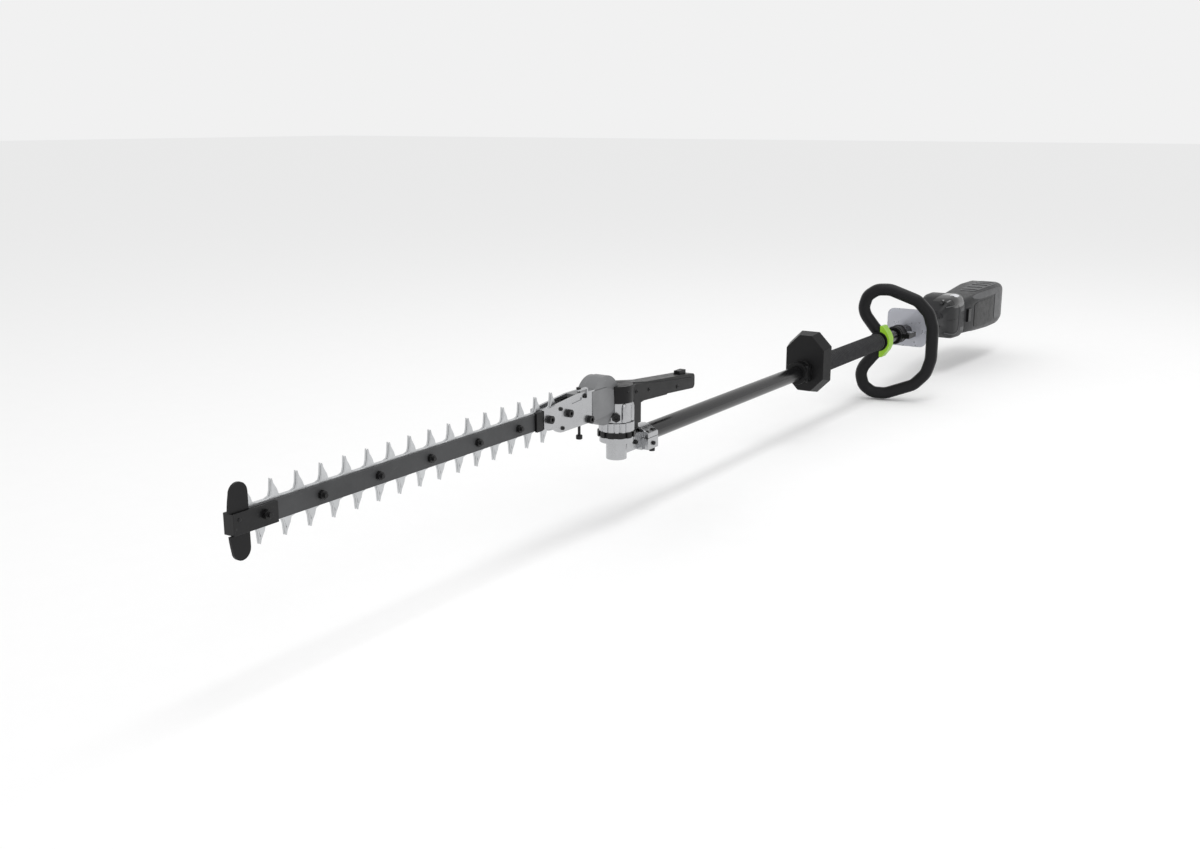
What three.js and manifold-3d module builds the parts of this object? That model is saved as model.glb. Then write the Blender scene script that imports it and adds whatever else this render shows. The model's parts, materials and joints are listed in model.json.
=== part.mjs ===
// Pole hedge trimmer with a swinging double-sided cutter head.
// Millimetres, +Z up. The tool lies on its side: the cutter points to -X, the battery to +X,
// the side that is uppermost in use faces -Y. The head swings about the vertical axis X = Y = 0,
// and the shaft runs along the line Y = Z = 0. The last lines move the whole tool so that it
// stands on Z = 0 with its box centred on the Z axis.

import * as THREE from 'three';
import { mergeVertices } from 'three/addons/utils/BufferGeometryUtils.js';
import Module from 'manifold-3d';

const wasm = await Module();
wasm.setup();

// ---------------------------------------------------------------- driving dimensions

const GAP = 0.3;

// Cutter
const TOOTH_PITCH = 34;
const TOOTH_COUNT = 15;
const FIRST_UPPER_TOOTH_X = -157;
const FIRST_LOWER_TOOTH_X = -176.1;
const BLADE_Z = 71;
const BLADE_HALF_BODY = 12;
const TOOTH_TIP = 31.4;
const TOOTH_TIP_FRONT = 2.4;
const TOOTH_TIP_REAR = 0.6;
const TOOTH_ROOT_HALF = 3.6;
const TOOTH_FILLET = 7;
const TOOTH_SLOPE = 5.5;
const BLADE_FRONT_X = -679;
const BLADE_TAIL_X = -86;
const BLADE_TAIL_HALF = 9;
const STROKE = 8.5;
const BLADE_LAYER = 2.5;
const BAR_HALF = 10.5;
const BAR_FRONT_X = -669.4;
const BAR_REAR_X = -112.5;
const BAR_NEAR_Y = -6;
const BAR_FAR_Y = -3;
const BAR_BOLT_X = [-574, -489, -404, -318, -237];
const TIP_BOLT_X = -651;
const BOLT_RADIUS = 3;
const NUT_FLATS = 5.2;

// Cutter tip
const TIP_END_X = -691.5;
const STRAP_REAR_X = -635;
const STRAP_BOTTOM_Z = 58.8;
const STRAP_TOP_Z = 80.8;
const STRAP_THICK = 2.4;
const TIP_GUARD_FRONT_X = -694.5;
const TIP_GUARD_REAR_X = -669.7;
const TIP_GUARD_HALF_HEIGHT = 39;

// Head gears
const MODULE = 2;
const GEAR_DEPTH = 2.4;
const GEAR_CLEARANCE = 0.2;
const GEAR_NEAR_Y = 6.3;
const GEAR_FAR_Y = 9.4;
const CRANK_TEETH = 30;
const PINION_TEETH = 15;
const CRANK_X = -42;
const GEAR_DISTANCE = (MODULE * (CRANK_TEETH + PINION_TEETH)) / 2;
const PINION_Z = BLADE_Z - Math.sqrt(GEAR_DISTANCE ** 2 - CRANK_X ** 2);
const BEVEL_TEETH = 16;
const SMALL_BEVEL_TEETH = 12;
const BEVEL_DEPTH = 1;
const GEAR_SHAFT_RADIUS = 2.6;
// Bevel gears: distance of the large end from the axes' meeting point, its radius, then the small end.
const LARGE_BEVEL = [8, 7.3, 5.2, 4.5];
const UPPER_BEVEL = [7, 4.5, 4.4, 2.7];
const CROSS_BEVEL = [5.25, 6.3, 3.3, 3.7];
const ECCENTRIC_RADIUS = 13;
const ROD_LENGTH = 55;
const ROD_INNER_Y = 3.2;
const ROD_OUTER_Y = 5.8;

// Gearcase
const DRUM_RADIUS = 34.3;
const DRUM_WALL = 2.5;
const DRUM_NEAR_Y = -9;
const DRUM_FAR_Y = 9.6;
const COVER_THICK = 8.8;
const SNOUT_X = -112;
const SNOUT_FAR_Y = 7.7;
const SNOUT_INNER = 15.2;
const SNOUT_OUTER = 20.5;
const COLUMN_RADIUS = 21.5;
const COLUMN_BORE = 19.2;
const NECK_BORE = 17.9;
const COLUMN_BOTTOM_Z = 34.3;
const COLUMN_SHOULDER_Z = 61.7;
const COLUMN_TOP_Z = 74;
const NECK_RADIUS = 20;

// Pivot stack, from the bottom up
const BOSS_RADIUS = 14.5;
const BOSS_BOTTOM_Z = -20;
const FLANGE_RADIUS = 24;
const FLANGE_BOTTOM_Z = 5;
const FLANGE_TOP_Z = 12.7;
const INDEX_RADIUS = 27;
const INDEX_TOP_Z = 20.7;
const COLLAR_RADIUS = 25;
const NOTCH_COUNT = 12;
const NOTCH_DEPTH = 3;
const NOTCH_HALF = 3;
const PLUG_Z = 43;
const PLUG_TURN = THREE.MathUtils.degToRad(211);
const SLEEVE_RADIUS = 16;
const SLEEVE_BORE = 12;

// Shaft
const TUBE_RADIUS = 13;
const TUBE_BORE = 11.5;
const TUBE_FRONT_X = 52;
const TUBE_REAR_X = 1190;
const DRIVE_RADIUS = 3.5;
const BUSHING_FRONT = [420, 444];
const BUSHING_REAR = [880, 904];
const CLAMP_FRONT_X = 50;
const CLAMP_REAR_X = 78;
const CLAMP_HALF_Y = 22;
const CLAMP_HALF_Z = 17;
const CLAMP_BOLT_X = 68;
const CLAMP_BOLT_Y = 17.6;
const CLAMP_BOLT_RADIUS = 2.4;

// Adjusting handle on the head
const CAP_RADIUS = 23.5;
const CAP_TOP_Z = 86;
const ARM_HALF_WIDTH = 12;
const ARM_END_X = 203;
const LEVER_PIVOT_X = 51;
const LEVER_PIVOT_Z = 61;
const LEVER_HALF_WIDTH = 8;
const BUTTON_X = 178;

// Fittings along the shaft
const GUARD_X = 624;
const GUARD_DEPTH = 24;
const GRIP_FRONT_X = 690;
const GRIP_REAR_X = 996;
const GRIP_RADIUS = 17.5;
const LOOP_X = 1024;
const LOOP_RADIUS = 13;
const LOOP_TILT = THREE.MathUtils.degToRad(15);
const LOOP_DROP = 3;
const HARNESS_X = 1110;
const PLATE_X = 1166;

// Rear housing and battery
const HOUSING_FRONT_X = 1191;
const HOUSING_REAR_X = 1440;
const MOTOR_FRONT_X = 1376;
const MOTOR_REAR_X = 1424;
const MOTOR_RADIUS = 30;
const BATTERY_FRONT_X = HOUSING_REAR_X + GAP;
const BATTERY_REAR_X = 1735;
const DOCK_HALF_Y = 14;
const DOCK_HALF_Z = 30;
const TRIGGER_X = 1236;
const LOCK_OFF_X = 1262;
const BUTTON_SEAT_Y = -14;
const BUTTON_SEAT_Z = 40;

// ---------------------------------------------------------------- finishes

const finish = (color, roughness, metalness) => () =>
  new THREE.MeshStandardMaterial({ color, roughness, metalness });

const castAluminium = finish(0xc9cbcd, 0.4, 0.85);
const darkCasting = finish(0x85878a, 0.5, 0.7);
const bladeSteel = finish(0xb9bbbd, 0.32, 0.9);
const gearSteel = finish(0x8f9296, 0.35, 0.9);
const blackSteel = finish(0x1d1d1f, 0.45, 0.6);
const barPaint = finish(0x47484a, 0.55, 0.3);
const tubePaint = finish(0x232325, 0.3, 0.4);
const blackPlastic = finish(0x2a2a2c, 0.55, 0);
const housingPlastic = finish(0x4b4c4f, 0.6, 0);
const darkGloss = finish(0x151618, 0.12, 0);
const softGrip = finish(0x3f4043, 0.85, 0);
const loopRubber = finish(0x2f3032, 0.75, 0);
const limePlastic = finish(0x8fc832, 0.45, 0);
const clearGrey = finish(0xa6a8b2, 0.25, 0);
const copper = finish(0xb0703a, 0.4, 0.8);

// ---------------------------------------------------------------- helpers

function solid(geometry) {
  const bare = geometry.index ? geometry.clone() : geometry;
  bare.deleteAttribute('normal');
  bare.deleteAttribute('uv');
  const merged = mergeVertices(bare, 1e-4);
  return new wasm.Manifold(new wasm.Mesh({
    numProp: 3,
    vertProperties: new Float32Array(merged.attributes.position.array),
    triVerts: new Uint32Array(merged.index.array),
  }));
}

function surface(manifold) {
  const mesh = manifold.getMesh();
  const geometry = new THREE.BufferGeometry();
  geometry.setAttribute('position', new THREE.BufferAttribute(mesh.vertProperties, 3));
  geometry.setIndex(new THREE.BufferAttribute(mesh.triVerts, 1));
  geometry.computeVertexNormals();
  return geometry;
}

function join(first, ...others) {
  return surface(others.reduce((sum, other) => sum.add(solid(other)), solid(first)));
}

function cut(first, ...others) {
  return surface(others.reduce((rest, other) => rest.subtract(solid(other)), solid(first)));
}

function keep(first, other) {
  return surface(solid(first).intersect(solid(other)));
}

function part(name, geometry, material) {
  const mesh = new THREE.Mesh(geometry, material());
  mesh.name = name;
  return mesh;
}

function box(x0, x1, y0, y1, z0, z1) {
  const geometry = new THREE.BoxGeometry(x1 - x0, y1 - y0, z1 - z0);
  return geometry.translate((x0 + x1) / 2, (y0 + y1) / 2, (z0 + z1) / 2);
}

// A cone or cylinder along one axis; at holds its other two coordinates in x, y, z order.
function rod(axis, from, to, radius, at = [0, 0], sides = 24, endRadius = radius) {
  const geometry = new THREE.CylinderGeometry(endRadius, radius, to - from, sides);
  const middle = (from + to) / 2;
  if (axis === 'x') return geometry.rotateZ(-Math.PI / 2).translate(middle, at[0], at[1]);
  if (axis === 'y') return geometry.translate(at[0], middle, at[1]);
  return geometry.rotateX(Math.PI / 2).translate(at[0], at[1], middle);
}

const extrude = (shape, depth, curveSegments) =>
  new THREE.ExtrudeGeometry(shape, { depth, bevelEnabled: false, curveSegments });

// Plates: a shape drawn in (x, z), (x, y) or (y, z) and extruded along the third axis.
function plateXZ(shape, y0, y1, curveSegments = 6) {
  return extrude(shape, y1 - y0, curveSegments).rotateX(Math.PI / 2).translate(0, y1, 0);
}

function plateXY(shape, z0, z1, curveSegments = 6) {
  return extrude(shape, z1 - z0, curveSegments).translate(0, 0, z0);
}

function plateYZ(shape, x0, x1, curveSegments = 6) {
  const turn = new THREE.Matrix4().makeBasis(
    new THREE.Vector3(0, 1, 0), new THREE.Vector3(0, 0, 1), new THREE.Vector3(1, 0, 0));
  return extrude(shape, x1 - x0, curveSegments).applyMatrix4(turn).translate(x0, 0, 0);
}

const polygon = (points) => new THREE.Shape(points.map(([u, v]) => new THREE.Vector2(u, v)));

function roundedRect(u0, u1, v0, v1, radius) {
  const shape = new THREE.Shape();
  shape.absarc(u1 - radius, v1 - radius, radius, 0, Math.PI / 2);
  shape.absarc(u0 + radius, v1 - radius, radius, Math.PI / 2, Math.PI);
  shape.absarc(u0 + radius, v0 + radius, radius, Math.PI, 1.5 * Math.PI);
  shape.absarc(u1 - radius, v0 + radius, radius, 1.5 * Math.PI, 2 * Math.PI);
  return shape;
}

// A closed skin over rings of points with the same count. A cap at each end fans from its middle.
function loft(rings) {
  const count = rings[0].length;
  const middleOf = (ring) => [0, 1, 2].map((axis) =>
    ring.reduce((sum, point) => sum + point[axis], 0) / count);
  const points = [...rings.flat(), middleOf(rings[0]), middleOf(rings[rings.length - 1])];
  const index = [];
  for (let ring = 0; ring + 1 < rings.length; ring += 1) {
    for (let i = 0; i < count; i += 1) {
      const next = (i + 1) % count;
      const a = ring * count + i;
      const b = ring * count + next;
      index.push(a, b, a + count, b, b + count, a + count);
    }
  }
  const last = (rings.length - 1) * count;
  const firstMiddle = rings.length * count;
  for (let i = 0; i < count; i += 1) {
    const next = (i + 1) % count;
    index.push(firstMiddle, next, i);
    index.push(firstMiddle + 1, last + i, last + next);
  }
  const geometry = new THREE.BufferGeometry();
  geometry.setAttribute('position', new THREE.Float32BufferAttribute(points.flat(), 3));
  geometry.setIndex(index);
  return geometry;
}

// A toothed wheel around the Z axis, from z0 to z1; a smaller end radius makes a bevel gear.
function toothedWheel(teeth, radius, depth, z0, z1, endRadius = radius) {
  const ring = (z, outer) => {
    const scale = outer / radius;
    const points = [];
    for (let tooth = 0; tooth < teeth; tooth += 1) {
      const flanks = [[-0.3, -1], [-0.14, 1], [0.14, 1], [0.3, -1]];
      flanks.forEach(([turn, side]) => {
        const angle = ((tooth + turn) / teeth) * 2 * Math.PI;
        const reach = (radius + (side * depth) / 2) * scale;
        points.push([reach * Math.cos(angle), reach * Math.sin(angle), z]);
      });
    }
    return points;
  };
  return loft([ring(z0, radius), ring(z1, endRadius)]);
}

// ---------------------------------------------------------------- cutter

// One edge of a blade: a row of pointed teeth with rounded roots, drawn towards +X. Each tip leans
// towards the cutter's front end.
function addTeeth(shape, firstX, count, side) {
  const edge = BLADE_Z + side * BLADE_HALF_BODY;
  const root = edge + side * TOOTH_FILLET;
  const tip = BLADE_Z + side * TOOTH_TIP;
  for (let i = count - 1; i >= 0; i -= 1) {
    const x = firstX - i * TOOTH_PITCH;
    const front = Math.max(x - TOOTH_ROOT_HALF - TOOTH_FILLET, BLADE_FRONT_X + 0.5);
    shape.lineTo(front, edge);
    shape.quadraticCurveTo(x - TOOTH_ROOT_HALF, edge, x - TOOTH_ROOT_HALF, root);
    shape.lineTo(x - TOOTH_TIP_FRONT, tip);
    shape.lineTo(x - TOOTH_TIP_REAR, tip - side * TOOTH_SLOPE);
    shape.lineTo(x + TOOTH_ROOT_HALF, root);
    shape.quadraticCurveTo(x + TOOTH_ROOT_HALF, edge, x + TOOTH_ROOT_HALF + TOOTH_FILLET, edge);
  }
}

function bladeShape() {
  const lower = new THREE.Shape();
  lower.moveTo(BLADE_FRONT_X, BLADE_Z);
  lower.lineTo(BLADE_FRONT_X, BLADE_Z - BLADE_HALF_BODY);
  addTeeth(lower, FIRST_LOWER_TOOTH_X, TOOTH_COUNT, -1);
  const upper = new THREE.Shape();
  upper.moveTo(BLADE_FRONT_X, BLADE_Z);
  upper.lineTo(BLADE_FRONT_X, BLADE_Z + BLADE_HALF_BODY);
  addTeeth(upper, FIRST_UPPER_TOOTH_X, TOOTH_COUNT + 1, 1);
  const lowerPoints = lower.getPoints(2);
  const upperPoints = upper.getPoints(2).slice(1).reverse();
  const tail = [
    [-140, BLADE_Z - BLADE_HALF_BODY], [-126, BLADE_Z - BLADE_TAIL_HALF],
    [BLADE_TAIL_X, BLADE_Z - BLADE_TAIL_HALF], [BLADE_TAIL_X, BLADE_Z + BLADE_TAIL_HALF],
    [-126, BLADE_Z + BLADE_TAIL_HALF], [-140, BLADE_Z + BLADE_HALF_BODY],
  ].map(([x, z]) => new THREE.Vector2(x, z));
  const shape = new THREE.Shape([...lowerPoints, ...tail, ...upperPoints]);
  [TIP_BOLT_X, ...BAR_BOLT_X, BRACKET_BOLTS[0][0], BRACKET_BOLTS[1][0]].forEach((x) => {
    const halfSlot = STROKE + 0.6;
    const radius = BOLT_RADIUS + 0.4;
    const slot = new THREE.Path();
    slot.absarc(x + halfSlot, BLADE_Z, radius, -Math.PI / 2, Math.PI / 2);
    slot.absarc(x - halfSlot, BLADE_Z, radius, Math.PI / 2, 1.5 * Math.PI);
    shape.holes.push(slot);
  });
  return shape;
}

function blade(name, y0) {
  return part(name, plateXZ(bladeShape(), y0, y0 + BLADE_LAYER, 2), bladeSteel);
}

// A bolt along Y: head on the far side, shank through the stack, nut and stud end on the near side.
function throughBolt(name, x, z, nearY, farY, material = blackSteel) {
  const head = rod('y', farY, farY + 3, 5, [x, z], 8);
  const shank = rod('y', nearY - 7.6, farY + 0.1, BOLT_RADIUS - GAP, [x, z], 12);
  const nut = rod('y', nearY - 4.6, nearY, NUT_FLATS, [x, z], 6);
  return part(name, join(shank, head, nut), material);
}

const boltHole = (x, z, y0, y1) => rod('y', y0 - 1, y1 + 1, BOLT_RADIUS, [x, z], 12);

function guideBar() {
  const blank = box(BAR_FRONT_X, BAR_REAR_X, BAR_NEAR_Y, BAR_FAR_Y,
    BLADE_Z - BAR_HALF, BLADE_Z + BAR_HALF);
  const holes = [TIP_BOLT_X, ...BAR_BOLT_X, BRACKET_BOLTS[0][0], BRACKET_BOLTS[1][0]]
    .map((x) => boltHole(x, BLADE_Z, BAR_NEAR_Y, BAR_FAR_Y));
  return part('guide_bar', cut(blank, ...holes), barPaint);
}

const STRAP_NEAR_Y = BAR_NEAR_Y - GAP - STRAP_THICK;
const STRAP_FAR_Y = 2.7 + GAP;

function tipBracket() {
  const outline = polygon([
    [STRAP_REAR_X, STRAP_NEAR_Y], [STRAP_REAR_X, STRAP_NEAR_Y + STRAP_THICK],
    [TIP_END_X + STRAP_THICK, STRAP_NEAR_Y + STRAP_THICK], [TIP_END_X + STRAP_THICK, STRAP_FAR_Y],
    [STRAP_REAR_X, STRAP_FAR_Y], [STRAP_REAR_X, STRAP_FAR_Y + STRAP_THICK],
    [TIP_END_X, STRAP_FAR_Y + STRAP_THICK], [TIP_END_X, STRAP_NEAR_Y],
  ]);
  const strap = plateXY(outline, STRAP_BOTTOM_Z, STRAP_TOP_Z);
  const hole = boltHole(TIP_BOLT_X, BLADE_Z, STRAP_NEAR_Y, STRAP_FAR_Y + STRAP_THICK);
  return part('tip_bracket', cut(strap, hole), blackSteel);
}

function tipGuard() {
  const shape = new THREE.Shape();
  const endRadius = 11;
  const endX = TIP_GUARD_REAR_X - endRadius;
  const reach = TIP_GUARD_HALF_HEIGHT - endRadius;
  shape.moveTo(TIP_GUARD_FRONT_X, BLADE_Z);
  shape.quadraticCurveTo(TIP_GUARD_FRONT_X, BLADE_Z + 16, endX - endRadius, BLADE_Z + reach);
  shape.absarc(endX, BLADE_Z + reach, endRadius, Math.PI, 0, true);
  shape.lineTo(TIP_GUARD_REAR_X, BLADE_Z - reach);
  shape.absarc(endX, BLADE_Z - reach, endRadius, 0, -Math.PI, true);
  shape.quadraticCurveTo(TIP_GUARD_FRONT_X, BLADE_Z - 16, TIP_GUARD_FRONT_X, BLADE_Z);
  const strapSlot = box(TIP_GUARD_FRONT_X - 1, TIP_END_X + STRAP_THICK + GAP,
    BAR_NEAR_Y - 1, BAR_FAR_Y + 1, STRAP_BOTTOM_Z - GAP, STRAP_TOP_Z + GAP);
  return part('tip_guard', cut(plateXZ(shape, BAR_NEAR_Y, BAR_FAR_Y, 5), strapSlot), blackPlastic);
}

function barEndBlock() {
  const block = box(-203, -188.6, BAR_NEAR_Y - 3.6, BAR_NEAR_Y - GAP, BLADE_Z - 12, BLADE_Z + 13);
  return part('bar_end_block', block, blackPlastic);
}

// ---------------------------------------------------------------- head

// Places of the bracket bolts in (x, z): two through the guide bar, one into the gearcase snout.
const BRACKET_BOLTS = [[-176, BLADE_Z], [-133, BLADE_Z], [-84, BLADE_Z - 17.8]];
const BRACKET_NEAR_Y = -10;
const BRACKET_FAR_Y = 11.7;

function bracketShape() {
  const shape = new THREE.Shape();
  const top = BLADE_Z + SNOUT_OUTER;
  const bottom = BLADE_Z - SNOUT_OUTER - 2;
  const drumGap = DRUM_RADIUS + 0.8;
  const angleTop = Math.PI - Math.asin(SNOUT_OUTER / drumGap);
  const angleBottom = Math.PI + Math.asin((SNOUT_OUTER + 2) / drumGap);
  shape.moveTo(-187.6, BLADE_Z - 11);
  shape.lineTo(-166, BLADE_Z - 14);
  shape.quadraticCurveTo(-158, bottom, -146, bottom);
  shape.lineTo(CRANK_X + drumGap * Math.cos(angleBottom), bottom);
  shape.absarc(CRANK_X, BLADE_Z, drumGap, angleBottom, angleTop, true);
  shape.lineTo(-112, top);
  shape.lineTo(-187.6, BLADE_Z + 13.5);
  return shape;
}

const bracketHoles = (y0, y1) => BRACKET_BOLTS.map(([x, z]) => boltHole(x, z, y0, y1));

function nearBracket() {
  const plate = plateXZ(bracketShape(), BRACKET_NEAR_Y, BAR_NEAR_Y - GAP, 5);
  const slot = new THREE.Shape();
  slot.absarc(-104, BLADE_Z + 14, 2, -Math.PI / 2, Math.PI / 2);
  slot.absarc(-124, BLADE_Z + 12.5, 2, Math.PI / 2, 1.5 * Math.PI);
  const groove = plateXZ(slot, BRACKET_NEAR_Y - 1, BRACKET_NEAR_Y + 1.2);
  return part('near_bracket', cut(plate, groove, ...bracketHoles(BRACKET_NEAR_Y, BAR_NEAR_Y)),
    castAluminium);
}

function farBracket() {
  const plate = plateXZ(bracketShape(), SNOUT_FAR_Y + GAP, BRACKET_FAR_Y, 5);
  const spacer = box(-187.6, SNOUT_X - GAP - 0.1, 3, SNOUT_FAR_Y + GAP + 0.1,
    BLADE_Z - BAR_HALF, BLADE_Z + BAR_HALF);
  return part('far_bracket', cut(join(plate, spacer), ...bracketHoles(3, BRACKET_FAR_Y)), castAluminium);
}

function bracketBolt(index) {
  const [x, z] = BRACKET_BOLTS[index];
  const shank = rod('y', BRACKET_NEAR_Y - 0.1, BRACKET_FAR_Y + 3, BOLT_RADIUS - GAP, [x, z], 12);
  const head = rod('y', BRACKET_NEAR_Y - 5, BRACKET_NEAR_Y, 5.4, [x, z], 12);
  const socket = rod('y', BRACKET_NEAR_Y - 6, BRACKET_NEAR_Y - 2.4, 2.6, [x, z], 6);
  const nut = rod('y', BRACKET_FAR_Y, BRACKET_FAR_Y + 4.6, NUT_FLATS, [x, z], 6);
  return part(`bracket_bolt_${index + 1}`, cut(join(shank, head, nut), socket), blackSteel);
}

// The round gear space: everything the drum and its cover fill, grown by a margin.
const drumEnvelope = (margin) => rod('y', DRUM_NEAR_Y - margin,
  DRUM_FAR_Y + GAP + COVER_THICK + margin, DRUM_RADIUS + margin, [CRANK_X, BLADE_Z], 40);

function gearcaseBody() {
  const drum = rod('y', DRUM_NEAR_Y, DRUM_FAR_Y, DRUM_RADIUS, [CRANK_X, BLADE_Z], 40);
  const snout = box(SNOUT_X, CRANK_X, BAR_NEAR_Y, SNOUT_FAR_Y,
    BLADE_Z - SNOUT_OUTER, BLADE_Z + SNOUT_OUTER);
  const gearSpace = rod('y', DRUM_NEAR_Y + DRUM_WALL, DRUM_FAR_Y + 1, DRUM_RADIUS - DRUM_WALL,
    [CRANK_X, BLADE_Z], 40);
  const rodWindow = box(SNOUT_X - 1, CRANK_X, BAR_NEAR_Y - 1, SNOUT_FAR_Y + 1,
    BLADE_Z - SNOUT_INNER, BLADE_Z + SNOUT_INNER);
  const frontWall = keep(drum, box(CRANK_X - 40, CRANK_X, DRUM_NEAR_Y, DRUM_NEAR_Y + DRUM_WALL,
    BLADE_Z - 40, BLADE_Z + 40));
  const columnSpace = rod('z', 30, COLUMN_TOP_Z - 1, COLUMN_BORE, [0, 0], 32);
  const [boltX, boltZ] = BRACKET_BOLTS[2];
  const boltBoss = join(rod('y', BAR_NEAR_Y, SNOUT_FAR_Y, 4.9, [boltX, boltZ], 16),
    box(boltX - 7, boltX + 7, BAR_NEAR_Y, SNOUT_FAR_Y,
      BLADE_Z - SNOUT_OUTER - 2, BLADE_Z - SNOUT_INNER));
  const drilled = boltHole(boltX, boltZ, BAR_NEAR_Y, SNOUT_FAR_Y);
  const shell = cut(join(cut(join(drum, snout), gearSpace, rodWindow), boltBoss), drilled);
  const plugSpace = rod('x', COLUMN_RADIUS - 2, COLUMN_RADIUS + 14, 7.6).rotateZ(PLUG_TURN)
    .translate(0, 0, PLUG_Z);
  return part('gearcase_body', cut(join(shell, frontWall), columnSpace, plugSpace), darkCasting);
}

// The bright upright casting that turns on the pivot sleeve; the drum is let into its side.
function headColumn() {
  const column = rod('z', COLUMN_BOTTOM_Z, COLUMN_SHOULDER_Z, COLUMN_RADIUS, [0, 0], 32);
  const neck = rod('z', COLUMN_SHOULDER_Z - 1, COLUMN_TOP_Z, NECK_RADIUS, [0, 0], 32);
  const lowerBore = rod('z', COLUMN_BOTTOM_Z - 1, COLUMN_SHOULDER_Z - 1, COLUMN_BORE, [0, 0], 32);
  const upperBore = rod('z', COLUMN_BOTTOM_Z, COLUMN_TOP_Z - 2, NECK_BORE, [0, 0], 32);
  return part('head_column', cut(join(column, neck), lowerBore, upperBore, drumEnvelope(GAP)),
    castAluminium);
}

function gearcaseCover() {
  const y0 = DRUM_FAR_Y + GAP;
  const y1 = y0 + COVER_THICK;
  const disc = rod('y', y0, y1, DRUM_RADIUS - 1, [CRANK_X, BLADE_Z], 40);
  const boss = rod('y', y1 - 0.1, y1 + 1.5, 12, [CRANK_X, BLADE_Z], 24);
  const bearing = rod('y', y0 - 1, y0 + 4, 4.8, [CRANK_X, BLADE_Z], 16);
  return part('gearcase_cover', cut(join(disc, boss), bearing), darkCasting);
}

// A spur wheel on Y whose first tooth, or first gap, faces an angle measured from +X towards +Z.
function spurWheel(teeth, facing, offset, x, z) {
  const wheel = toothedWheel(teeth, (MODULE * teeth) / 2 - GEAR_CLEARANCE, GEAR_DEPTH,
    GEAR_NEAR_Y, GEAR_FAR_Y);
  return wheel.rotateZ(-facing + (offset * Math.PI) / teeth).rotateX(-Math.PI / 2).translate(x, 0, z);
}

const MESH_ANGLE = Math.atan2(PINION_Z - BLADE_Z, -CRANK_X);

// The crank gear turns on Y. It carries two eccentric discs, half a turn apart, one for each rod.
function crankGear() {
  const wheel = spurWheel(CRANK_TEETH, MESH_ANGLE, 0, CRANK_X, BLADE_Z);
  const near = rod('y', -ROD_OUTER_Y - GAP, -ROD_INNER_Y + GAP, ECCENTRIC_RADIUS,
    [CRANK_X, BLADE_Z + STROKE], 24);
  const far = rod('y', ROD_INNER_Y - GAP, GEAR_NEAR_Y + 0.1, ECCENTRIC_RADIUS,
    [CRANK_X, BLADE_Z - STROKE], 24);
  const shaft = rod('y', -ROD_OUTER_Y - GAP, DRUM_FAR_Y + 3.5, 4.4, [CRANK_X, BLADE_Z], 16);
  return part('crank_gear', join(wheel, near, far, shaft), gearSteel);
}

function conRod(name, side) {
  const [y0, y1] = side < 0 ? [-ROD_OUTER_Y, -ROD_INNER_Y] : [ROD_INNER_Y, ROD_OUTER_Y];
  const z = BLADE_Z - side * STROKE;
  const ring = rod('y', y0, y1, ECCENTRIC_RADIUS + 4, [CRANK_X, z], 24);
  const bar = box(CRANK_X - ROD_LENGTH, CRANK_X - ECCENTRIC_RADIUS, y0, y1, z - 4, z + 4);
  const smallEnd = rod('y', y0, y1, 5.4, [CRANK_X - ROD_LENGTH, z], 16);
  const bore = rod('y', y0 - 1, y1 + 1, ECCENTRIC_RADIUS + GAP, [CRANK_X, z], 24);
  return part(name, cut(join(ring, bar, smallEnd), bore), gearSteel);
}

// A bevel gear below the point where its axis meets its partner's, large end farthest from it.
const bevelGear = (teeth, far, large, near, small) =>
  toothedWheel(teeth, large, BEVEL_DEPTH, -far, -near, small);

// Cross shaft on Y: a bevel gear takes the drive from the upright shaft, a spur wheel passes it on.
function pinionShaft() {
  const end = COLUMN_BORE - 1;
  const shaft = rod('y', -end, end, GEAR_SHAFT_RADIUS, [0, PINION_Z], 12);
  const spur = spurWheel(PINION_TEETH, MESH_ANGLE + Math.PI, 1, 0, PINION_Z);
  const bevel = bevelGear(BEVEL_TEETH, ...CROSS_BEVEL)
    .rotateX(-Math.PI / 2)
    .translate(0, 0, PINION_Z);
  return part('pinion_shaft', join(shaft, spur, bevel), gearSteel);
}

// Upright shaft on the swing axis, with a bevel gear at each end.
function uprightShaft() {
  const lower = bevelGear(BEVEL_TEETH, ...LARGE_BEVEL);
  const upper = bevelGear(SMALL_BEVEL_TEETH, ...UPPER_BEVEL).translate(0, 0, PINION_Z);
  const shaft = rod('z', -14, PINION_Z - 4.6, GEAR_SHAFT_RADIUS, [0, 0], 12);
  return part('upright_shaft', join(shaft, lower, upper), gearSteel);
}

function columnBearing() {
  const blank = rod('z', 16, 26, SLEEVE_BORE - GAP, [0, 0], 24);
  return part('column_bearing', cut(blank, rod('z', 15, 27, 2.9, [0, 0], 12)), gearSteel);
}

function greasePlug() {
  const head = rod('x', COLUMN_RADIUS + GAP, COLUMN_RADIUS + 5, 6.6, [0, 0], 6);
  const socket = rod('x', COLUMN_RADIUS + 2.4, COLUMN_RADIUS + 6, 3, [0, 0], 6);
  const plug = cut(head, socket).rotateZ(PLUG_TURN).translate(0, 0, PLUG_Z);
  return part('grease_plug', plug, blackSteel);
}

// A ring with rounded bumps, drawn in (x, y).
function bumpyRing(outer, inner, bumps, depth) {
  const points = [];
  for (let i = 0; i < bumps * 4; i += 1) {
    const angle = (i / (bumps * 4)) * 2 * Math.PI;
    const radius = i % 4 === 0 ? outer - depth : outer;
    points.push([radius * Math.cos(angle), radius * Math.sin(angle)]);
  }
  const shape = polygon(points);
  const hole = new THREE.Path();
  hole.absarc(0, 0, inner, 0, 2 * Math.PI);
  shape.holes.push(hole);
  return shape;
}

function collarRing() {
  const ring = plateXY(bumpyRing(COLLAR_RADIUS, SLEEVE_RADIUS + GAP, 16, 1.6),
    INDEX_TOP_Z + GAP, COLUMN_BOTTOM_Z - GAP, 16);
  return part('collar_ring', ring, castAluminium);
}

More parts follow.
